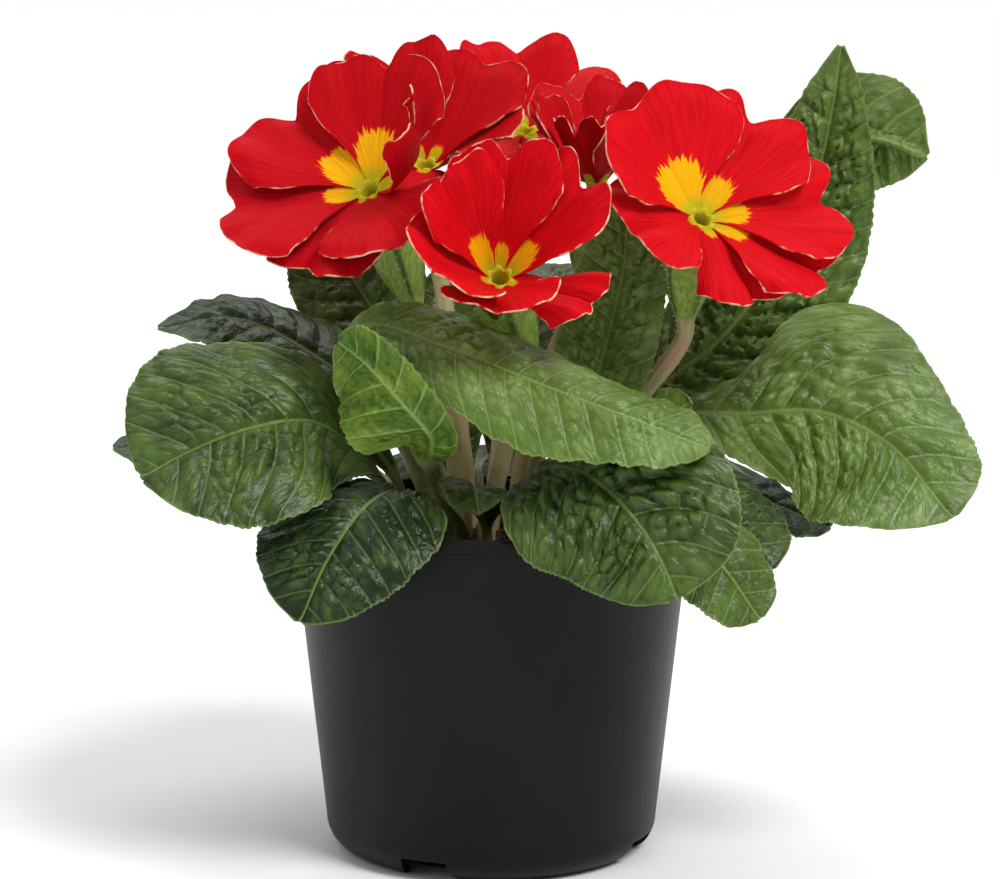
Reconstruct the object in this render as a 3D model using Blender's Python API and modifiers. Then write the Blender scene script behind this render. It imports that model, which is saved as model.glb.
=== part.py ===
"""Red primrose with yellow eyes, growing in a plain black nursery pot.

Sizes are in millimetres and become metres when a mesh is made. The pot stands on z = 0 with its axis
on the Z axis, and the side with the pale folded leaf faces -Y. Each leaf, flower stem and corolla is
one solid, and every stalk stands in its own hole in the soil.
"""

import math

import bmesh
import bpy
import numpy as np
from mathutils import Vector

MM = 0.001
GAP = 0.3

# Pot: a 10.5 cm nursery pot with a rolled rim, a round foot corner and a hollow under its floor
RIM_R = 52.5
RIM_LIP = 1.1
RIM_H = 3.0
POT_H = 88.0
BASE_R = 41.8
CORNER_R = 8.0
WALL = 1.3
FLOOR_Z = 5.8
DISC_R = 28.5
DISC_WALL = 1.4
POT_SIDES = 36
NOTCHES = 4
NOTCH_SPAN = 23.0
NOTCH_FIRST = -113.7
NOTCH_H = 5.6
NOTCH_TAPER = 0.72

# Soil: filled to a little under the rim, with crumbs standing up on it
SOIL_Z = 80.0
SOIL_SIDES = 30
SOIL_RINGS = 5
SOIL_LUMP = 1.0
HOLE_DEPTH = 10.0
LEAF_HOLE_R = 3.1
STEM_HOLE_R = 2.5
HOLE_SIDES = 8
FOOT_BELOW = 2.0
FOOT_ABOVE = 3.0
FOOT_LEAN = 1.03

# Leaf blades and their stalks
BLADE_T = 0.8
STALK_T = 2.2
STALK_HALF = 2.0
STALK_LIFT = 0.9
BLADE_COLS = 4
STALK_ROWS = 3
STALK_STRAIGHT = 12.0
ROUTE_STEPS = 24
LINE_POINTS = 200
TIP_CUT = 0.992
VEIN_SLANT = 0.10
VEIN_FLUTE = 0.45
EDGE_WAVES = 2.5
EDGE_JAG = 0.02
WIDEST_AT = 0.62
POINT_POWER = 1.7

# Flowers
PETAL_COLS = 6
PETAL_ROWS = (0.0, 0.14, 0.48, 1.0)
PETAL_LOBE = (0.92, 1.0, 0.95, 0.78)
PETAL_WAVE = 0.8
PETAL_T = 0.7
PETAL_STEP = 1.5
THROAT_R = 2.8
TUBE_R = 1.3
TUBE_BEND = 8.0
CALYX_SIDES = 10
CALYX_CLEAR = 0.6
CALYX_FOOT = 2.2
STEM_R = 1.7
STEM_RINGS = 11
STEM_STRAIGHT = 4.0

# Calyx rings: share of the tube, then reach past the inner wall, ridge and tooth
CALYX_OUTSIDE = ((0.0, 0.5, 0.5, 0.0), (0.3, 1.6, 0.9, 0.0), (0.55, 2.8, 0.9, 0.0), (0.58, 2.9, 0.9, 4.5))
CALYX_INSIDE = ((0.54, 1.8, 0.0, 0.0), (0.3, 0.8, 0.0, 0.0), (0.0, 0.0, 0.0, 0.0))

GREEN = (0.09, 0.19, 0.045)
PALE_GREEN = (0.20, 0.29, 0.12)
RED = (0.72, 0.012, 0.018)
BLACK = (0.014, 0.013, 0.012)
PEAT = (0.035, 0.018, 0.010)


def clear_scene():
    for obj in list(bpy.data.objects):
        bpy.data.objects.remove(obj)


def new_collection(name):
    collection = bpy.data.collections.new(name)
    bpy.context.scene.collection.children.link(collection)
    return collection


def new_material(name, color, roughness):
    material = bpy.data.materials.new(name)
    material.use_nodes = True
    shader = material.node_tree.nodes["Principled BSDF"]
    shader.inputs["Base Color"].default_value = (*color, 1.0)
    shader.inputs["Roughness"].default_value = roughness
    return material


def place(name, mesh, collection, material=None):
    """Put a mesh in the scene as a named object, shaded smooth except at sharp folds."""
    obj = bpy.data.objects.new(name, mesh)
    collection.objects.link(obj)
    if material:
        mesh.materials.append(material)
    mesh.shade_smooth()
    mesh.set_sharp_from_angle(angle=math.radians(50))
    return obj


def mesh_from(bm, name):
    mesh = bpy.data.meshes.new(name)
    bm.to_mesh(mesh)
    bm.free()
    return mesh


def turned(name, profile, sides, collection, material):
    """Spin a closed (radius, height) profile that runs down its outer side."""
    bm = bmesh.new()
    verts = [bm.verts.new((r * MM, 0, z * MM)) for r, z in profile]
    for a, b in zip(verts, verts[1:]):
        bm.edges.new((a, b))
    obj = place(name, mesh_from(bm, name), collection, material)
    screw = obj.modifiers.new("Turn", "SCREW")
    screw.steps = sides
    screw.render_steps = sides
    screw.use_merge_vertices = True
    screw.merge_threshold = 0.00001
    return obj


def arc(cx, cz, radius, start, end, count):
    """Points of a round corner, angles in degrees from +X towards +Z."""
    points = []
    for k in range(count + 1):
        a = math.radians(start + (end - start) * k / count)
        points.append((cx + radius * math.cos(a), cz + radius * math.sin(a)))
    return points


def wall_radius(z):
    """Outer radius of the tapered pot wall at a height."""
    return BASE_R + (RIM_R - RIM_LIP - BASE_R) * z / POT_H


def cut(obj, cutter):
    cutter.hide_render = True
    cutter.display_type = "WIRE"
    boolean = obj.modifiers.new("Cut " + cutter.name, "BOOLEAN")
    boolean.operation = "DIFFERENCE"
    boolean.object = cutter


def build_pot(collection, cutters, material):
    centre = wall_radius(CORNER_R) - CORNER_R
    inner = CORNER_R - WALL
    lip = RIM_H / 4
    profile = [(wall_radius(POT_H) - WALL, POT_H - lip), (wall_radius(POT_H), POT_H)]
    profile += arc(RIM_R - lip, POT_H - lip, lip, 60, 0, 2)
    profile += [(RIM_R, POT_H - RIM_H), (wall_radius(POT_H - RIM_H), POT_H - RIM_H - lip)]
    profile += arc(centre, CORNER_R, CORNER_R, 0, -90, 5)
    profile += arc(centre, CORNER_R, inner, -90, -20, 3)
    profile += [(DISC_R, FLOOR_Z), (DISC_R, 0), (0, 0)]
    turn = [(0, DISC_WALL), (DISC_R - DISC_WALL, DISC_WALL), (DISC_R - DISC_WALL, FLOOR_Z + DISC_WALL)]
    inside_r = wall_radius(CORNER_R) - WALL
    turn += [(inside_r - 1, FLOOR_Z + DISC_WALL), (inside_r, CORNER_R + DISC_WALL)]
    profile += turn
    profile.append(profile[0])
    pot = turned("pot", profile, POT_SIDES, collection, material)
    for k in range(NOTCHES):
        bm = bmesh.new()
        bmesh.ops.create_cube(bm, size=1)
        width = 2 * BASE_R * math.sin(math.radians(NOTCH_SPAN / 2))
        depth = BASE_R - DISC_R + 2
        for v in bm.verts:
            flare = 1.0 if v.co.z < 0 else NOTCH_TAPER
            v.co.x = (DISC_R + 1 + (v.co.x + 0.5) * depth) * MM
            v.co.y *= width * flare * MM
            v.co.z = (v.co.z * 2 * NOTCH_H) * MM
        cutter = place("notch_%d" % (k + 1), mesh_from(bm, "notch"), cutters)
        cutter.rotation_euler.z = math.radians(NOTCH_FIRST + 360 / NOTCHES * k)
        cut(pot, cutter)
    return pot


def soil_height(x, y):
    """Crumbly top of the soil: a few crossing waves of unlike length."""
    lump = math.sin(0.9 * x + 0.4 * y) * math.cos(0.7 * y - 0.3 * x) + 0.6 * math.sin(1.7 * y + 0.5 * x)
    return SOIL_Z + SOIL_LUMP * lump


def build_soil(collection, cutters, material, holes):
    inside = WALL + GAP
    bottom = DISC_WALL + GAP
    step = DISC_R - DISC_WALL - GAP
    shelf = FLOOR_Z + bottom
    edge = wall_radius(CORNER_R) - inside
    corner = CORNER_R + DISC_WALL + 0.6
    side = [(wall_radius(SOIL_Z) - inside, SOIL_Z), (edge + 0.1, corner), (edge - 1.2, shelf), (step, shelf)]
    rings = [(side[0][0] * (k / SOIL_RINGS), None) for k in range(1, SOIL_RINGS)]
    rings += side + [(step, bottom)]
    bm = bmesh.new()
    loops = []
    for r, z in rings:
        loop = []
        for k in range(SOIL_SIDES):
            a = 2 * math.pi * k / SOIL_SIDES
            x, y = r * math.cos(a), r * math.sin(a)
            height = soil_height(x, y) if z is None else z
            loop.append(bm.verts.new((x * MM, y * MM, height * MM)))
        loops.append(loop)
    for upper, lower in zip(loops, loops[1:]):
        for k in range(SOIL_SIDES):
            n = (k + 1) % SOIL_SIDES
            bm.faces.new((upper[k], lower[k], lower[n], upper[n]))
    bm.faces.new(loops[0])
    bm.faces.new(loops[-1][::-1])
    bmesh.ops.triangulate(bm, faces=bm.faces)
    soil = place("soil", mesh_from(bm, "soil"), collection, material)
    for k, (x, y, radius) in enumerate(holes):
        bm = bmesh.new()
        bmesh.ops.create_cone(bm, cap_ends=True, segments=HOLE_SIDES, radius1=radius * MM,
                              radius2=radius * MM, depth=2 * HOLE_DEPTH * MM)
        cutter = place("hole_%02d" % (k + 1), mesh_from(bm, "hole"), cutters)
        cutter.location = (x * MM, y * MM, SOIL_Z * MM)
        cut(soil, cutter)
    return soil


def stalk_foot(root):
    """The straight start of a stalk: up its hole, then leaning out a little over the soil."""
    x, y = root
    low = SOIL_Z - HOLE_DEPTH + GAP
    top = SOIL_Z + FOOT_ABOVE
    return [(x, y, low), (x, y, SOIL_Z - FOOT_BELOW), (x * FOOT_LEAN, y * FOOT_LEAN, top)]


def smooth_route(points, count):
    """Curve through the points, spaced by their distances, resampled to even steps, with unit tangents."""
    p = [np.array(q, float) for q in points]
    p = [2 * p[0] - p[1]] + p + [2 * p[-1] - p[-2]]
    fine = []
    for quad in zip(p, p[1:], p[2:], p[3:]):
        gaps = [math.sqrt(np.linalg.norm(n - m)) for m, n in zip(quad, quad[1:])]
        knots = np.concatenate([[0], np.cumsum(gaps)])
        for t in np.linspace(knots[1], knots[2], ROUTE_STEPS, endpoint=False):
            row = list(quad)
            for level in (1, 2, 3):
                for k in range(len(row) - 1):
                    low, high = (k, k + level) if level < 3 else (1, 2)
                    share = (t - knots[low]) / (knots[high] - knots[low])
                    row[k] = row[k] * (1 - share) + row[k + 1] * share
                row.pop()
            fine.append(row[0])
    fine.append(p[-2])
    fine = np.array(fine)
    reach = np.concatenate([[0], np.cumsum(np.linalg.norm(np.diff(fine, axis=0), axis=1))])
    even = np.linspace(0, reach[-1], count)
    line = np.stack([np.interp(even, reach, fine[:, k]) for k in range(3)], axis=1)
    tangent = np.gradient(line, axis=0)
    tangent /= np.linalg.norm(tangent, axis=1)[:, None]
    return line, tangent, reach[-1]


def blend_values(stops, s):
    """Values given at places along a leaf, blended in between."""
    places = [q[0] for q in stops]
    values = np.array([q[1] for q in stops], float)
    if values.ndim == 1:
        return np.interp(s, places, values)
    return np.stack([np.interp(s, places, values[:, k]) for k in range(values.shape[1])], axis=-1)


def blade_width(t, widest, point):
    """Half-width along the blade from 0 at its stalk to 1: slow swell, then an end from round to pointed."""
    t = np.clip(t, 0, 1)
    swell = np.sin(math.pi / 2 * np.minimum(t / widest, 1)) ** 1.35
    past = np.clip((t - widest) / (1 - widest), 0, 1)
    end = (1 - point) * np.sqrt(1 - past ** 2) + point * (1 - past ** POINT_POWER)
    return np.where(t < widest, swell, end)


class Leaf:
    """One leaf: a midrib route from the soil to the tip, and a blade bent about it."""

    def __init__(self, name, hole, half, route, faces, cup=20, curl=50, start=0.3, rows=13,
                 wave=1.0, widest=WIDEST_AT, far_cup=None, far_curl=None, stalk=1.0, bulges=(),
                 point=0.0):
        self.name = name
        radius, azimuth = hole
        a = math.radians(azimuth)
        self.root = (radius * math.cos(a), radius * math.sin(a))
        self.points = stalk_foot(self.root) + route
        self.half = half
        inward = (-math.cos(a), -math.sin(a), 0.0)
        self.faces = [(0.0, inward), (0.12, inward)] + faces
        self.cup = cup if isinstance(cup, list) else [(0, cup), (1, cup)]
        self.curl = curl if isinstance(curl, list) else [(0, curl), (1, curl)]
        self.far_cup = far_cup or self.cup
        self.far_curl = far_curl or self.curl
        self.start = start
        self.rows = rows
        self.wave = wave
        self.widest = widest
        self.stalk = stalk
        self.bulges = bulges
        self.point = point
        self.hole = (*self.root, LEAF_HOLE_R * (1 + stalk) / 2)

    def surface(self, s, v, flute):
        """Points on the upper face at places s along the midrib and v across, -1 to 1."""
        line, tangent, _ = smooth_route(self.points, LINE_POINTS)
        along = np.linspace(0, 1, LINE_POINTS)
        face = blend_values(self.faces, along)
        normal = face - tangent * np.sum(face * tangent, axis=1)[:, None]
        normal /= np.linalg.norm(normal, axis=1)[:, None]
        side = np.cross(tangent, normal)
        pick = [np.stack([np.interp(s, along, q[:, k]) for k in range(3)], -1) for q in (line, normal, side)]
        t = (s - self.start) / (1 - self.start)
        body = blade_width(t, self.widest, self.point)
        narrow = STALK_HALF * self.stalk
        width = narrow + (self.half - narrow) * body
        for place_t, side_sign, extra, spread in self.bulges:
            width = width + extra * np.exp(-((t - place_t) / spread) ** 2) * (v * side_sign > 0) * body
        u = np.abs(v) * width
        right = v > 0
        cup = np.radians(np.where(right, blend_values(self.cup, s), blend_values(self.far_cup, s)))
        curl = np.radians(np.where(right, blend_values(self.curl, s), blend_values(self.far_curl, s)))
        cup, curl = cup * body, curl * body
        bend = curl / np.maximum(self.half, 1) + 1e-6
        across = (np.sin(cup) - np.sin(cup - bend * u)) / bend
        rise = (np.cos(cup - bend * u) - np.cos(cup)) / bend
        ripple = self.wave * np.sin(2 * math.pi * EDGE_WAVES * t + 1.3 * np.sign(v)) * v ** 2 * body
        rise = rise + ripple + flute + STALK_LIFT * self.stalk * (1 - body)
        return pick[0] + pick[1] * rise[..., None] + pick[2] * (np.sign(v) * across)[..., None]

    def build(self, collection, material):
        _, _, length = smooth_route(self.points, ROUTE_STEPS)
        stalk = np.concatenate([[0], np.linspace(STALK_STRAIGHT / length, self.start, STALK_ROWS)[:-1]])
        k = np.arange(self.rows + 1) / self.rows
        blade = self.start + (1 - self.start) * (1 - (1 - k) ** 1.2) * TIP_CUT
        s = np.concatenate([stalk, blade])
        v = np.linspace(-1, 1, BLADE_COLS + 1)
        grid_s, grid_v = np.meshgrid(s, v, indexing="ij")
        t = np.clip((grid_s - self.start) / (1 - self.start), 0, 1)
        slanted = grid_s + (1 - self.start) * VEIN_SLANT * np.abs(grid_v) * 4 * t * (1 - t)
        turn = np.where(np.arange(len(s)) % 2, 1.0, -1.0)[:, None] * np.ones_like(grid_v)
        inner = np.sin(math.pi * np.minimum(np.abs(grid_v), 0.8))
        flute = VEIN_FLUTE * turn * inner * np.minimum(1, 4 * t * (1 - t) * 2)
        edge = 1 + EDGE_JAG * turn * (np.abs(grid_v) == 1) * (t > 0)
        points = self.surface(slanted, grid_v * edge, flute)
        bm = bmesh.new()
        layer = bm.verts.layers.deform.new()
        bmesh.ops.create_grid(bm, x_segments=BLADE_COLS, y_segments=len(s) - 1, size=0.5)
        order = sorted(bm.verts, key=lambda q: (round(q.co.y, 6), round(q.co.x, 6)))
        for n, vert in enumerate(order):
            i, j = divmod(n, BLADE_COLS + 1)
            vert.co = Vector(points[i, j]) * MM
            spine = (1 - abs(v[j])) ** 0.7
            thick = BLADE_T + (STALK_T * self.stalk - BLADE_T) * spine * (1 - 0.8 * float(t[i, j])) ** 1.5
            vert[layer][0] = thick / STALK_T
        bmesh.ops.triangulate(bm, faces=bm.faces, quad_method="SHORT_EDGE")
        obj = place(self.name, mesh_from(bm, self.name), collection, material)
        obj.vertex_groups.new(name="thickness")
        solid = obj.modifiers.new("Thickness", "SOLIDIFY")
        solid.thickness = STALK_T * MM
        solid.offset = -1
        solid.vertex_group = "thickness"
        return obj


def frame_of(axis):
    """An axis and two directions across it, the first one as near to +X as it can be."""
    a = Vector(axis).normalized()
    e = (Vector((1, 0, 0)) - a * a.x).normalized()
    return a, e, a.cross(e)


class Petal:
    """One lobe of a corolla: its angle about the flower, its length, how it lifts from base to tip."""

    def __init__(self, at, length, lift, half):
        self.at = at
        self.length = length
        self.lift = lift
        self.half = half
        self.edges = [-1, 1]
        self.starts = [-30, 30]

    def point(self, s, v):
        """Distance from the flower's axis, angle about it and height over the throat."""
        lobe = np.interp(abs(v), [0, 1 / 3, 2 / 3, 1.0], PETAL_LOBE)
        d = self.length * s * (1 - (1 - lobe) * s ** 1.5)
        part = (np.arange(ROUTE_STEPS) + 0.5) / ROUTE_STEPS * s
        lift = np.radians(self.lift[0] + (self.lift[1] - self.lift[0]) * part)
        r = THROAT_R + d * float(np.mean(np.cos(lift)))
        h = d * float(np.mean(np.sin(lift)))
        start = abs(self.starts[v > 0])
        widths = [start, start - 3, 0.4 * start + 0.6 * self.half, self.half, self.half * 0.9]
        half = np.interp(s, [0, 0.12, 0.3, 0.6, 1.0], widths)
        lean = PETAL_STEP * np.interp(s, [0, 0.12, 0.3, 1.0], [0, 0.55, 1.0, 1.3])
        ripple = PETAL_WAVE * s * math.sin(5.0 * v + 0.035 * self.at) * abs(v)
        h += lean * self.edges[v > 0] * abs(v) ** 1.3 + ripple
        return r, math.radians(self.at + v * half), h


class Flower:
    """A corolla on its tube, in a toothed calyx on its own stem. The foot is where the tube begins."""

    def __init__(self, name, hole, throat, axis, foot, petals, route):
        self.name = name
        radius, azimuth = hole
        a = math.radians(azimuth)
        self.root = (radius * math.cos(a), radius * math.sin(a))
        self.throat = Vector(throat)
        self.foot = Vector(foot)
        self.axis, self.e, self.f = frame_of(axis)
        self.petals = petals
        self.route = list(route)
        for petal, after in zip(petals, petals[1:] + petals[:1]):
            over = 1 if sum(petal.lift) >= sum(after.lift) else -1
            petal.edges[1] = over
            after.edges[0] = -over
            share = ((after.at - petal.at) % 360) / 2
            petal.starts[1] = share
            after.starts[0] = -share

    def spine(self, u):
        """Point and direction along the tube, from its foot at 0 to the throat at 1."""
        knee = self.throat - self.axis * TUBE_BEND
        point = self.foot * (1 - u) ** 2 + knee * 2 * u * (1 - u) + self.throat * u ** 2
        direction = ((knee - self.foot) * (1 - u) + (self.throat - knee) * u).normalized()
        return point, direction

    def ring(self, u, radius, angles, ridge=0.0, tooth=0.0):
        """A round section of the tube or calyx, with every second point raised into a ridge or tooth."""
        centre, a = self.spine(u)
        e = (self.e - a * a.dot(self.e)).normalized()
        f = a.cross(e)
        points = []
        for k, w in enumerate(angles):
            high = 1 - k % 2
            r = radius + ridge * high
            points.append(centre + (e * math.cos(w) + f * math.sin(w)) * r + a * tooth * high)
        return points

    def lobe_point(self, petal, s, v):
        r, angle, h = petal.point(s, v)
        spread = self.e * math.cos(angle) + self.f * math.sin(angle)
        return self.throat + spread * r + self.axis * h

    def build_corolla(self, collection, material):
        bm = bmesh.new()
        sides = len(self.petals) * PETAL_COLS
        angles = []
        for petal in self.petals:
            for j in range(PETAL_COLS):
                v = 2 * j / PETAL_COLS - 1
                angles.append(math.radians(petal.at + abs(v) * petal.starts[v > 0]))
        mouth = [bm.verts.new(q * MM) for q in self.ring(1, THROAT_R, angles)]
        neck = [bm.verts.new(q * MM) for q in self.ring(0.75, TUBE_R + 0.3, angles[::2])]
        foot = [bm.verts.new(q * MM) for q in self.ring(0.04, TUBE_R, angles[::2])]
        half = sides // 2
        for k in range(half):
            n = (k + 1) % half
            bm.faces.new((mouth[2 * k], mouth[2 * k + 1], neck[k]))
            bm.faces.new((mouth[2 * k + 1], neck[n], neck[k]))
            bm.faces.new((mouth[2 * k + 1], mouth[(2 * k + 2) % sides], neck[n]))
            bm.faces.new((neck[k], neck[n], foot[n]))
            bm.faces.new((neck[k], foot[n], foot[k]))
        bm.faces.new(foot)
        for i, petal in enumerate(self.petals):
            rows = [[mouth[(i * PETAL_COLS + j) % sides] for j in range(PETAL_COLS + 1)]]
            for s in PETAL_ROWS[1:]:
                across = [2 * j / PETAL_COLS - 1 for j in range(PETAL_COLS + 1)]
                rows.append([bm.verts.new(self.lobe_point(petal, s, v) * MM) for v in across])
            for a, b in zip(rows, rows[1:]):
                for j in range(PETAL_COLS):
                    bm.faces.new((a[j], b[j], b[j + 1]))
                    bm.faces.new((a[j], b[j + 1], a[j + 1]))
        bmesh.ops.triangulate(bm, faces=bm.faces)
        bmesh.ops.recalc_face_normals(bm, faces=bm.faces)
        obj = place("corolla_" + self.name, mesh_from(bm, self.name), collection, material)
        solid = obj.modifiers.new("Thickness", "SOLIDIFY")
        solid.thickness = PETAL_T * MM
        solid.offset = -1
        return obj

    def build_stem(self, collection, material):
        """Stem and calyx in one loft: up the stem, out over the cup, over its teeth and down inside."""
        up = self.spine(0)[1]
        under = self.foot - up * CALYX_FOOT
        points = stalk_foot(self.root) + self.route
        points += [tuple(under - up * STEM_STRAIGHT), tuple(under)]
        line, tangent, _ = smooth_route(points, STEM_RINGS)
        rings = []
        angles = [2 * math.pi * k / CALYX_SIDES for k in range(CALYX_SIDES)]
        for p, t in zip(line, tangent):
            a = Vector(t)
            e = (self.e - a * a.dot(self.e)).normalized()
            f = a.cross(e)
            rings.append([Vector(p) + (e * math.cos(w) + f * math.sin(w)) * STEM_R for w in angles])
        inner = TUBE_R + PETAL_T + CALYX_CLEAR
        for u, reach, ridge, tooth in CALYX_OUTSIDE + CALYX_INSIDE:
            rings.append(self.ring(u, inner + reach, angles, ridge, tooth))
        bm = bmesh.new()
        loops = [[bm.verts.new(q * MM) for q in ring] for ring in rings]
        for a, b in zip(loops, loops[1:]):
            for k in range(CALYX_SIDES):
                n = (k + 1) % CALYX_SIDES
                bm.faces.new((a[k], a[n], b[n]))
                bm.faces.new((a[k], b[n], b[k]))
        bm.faces.new(loops[0][::-1])
        bm.faces.new(loops[-1])
        bmesh.ops.triangulate(bm, faces=bm.faces)
        return place("stem_" + self.name, mesh_from(bm, self.name), collection, material)


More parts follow.
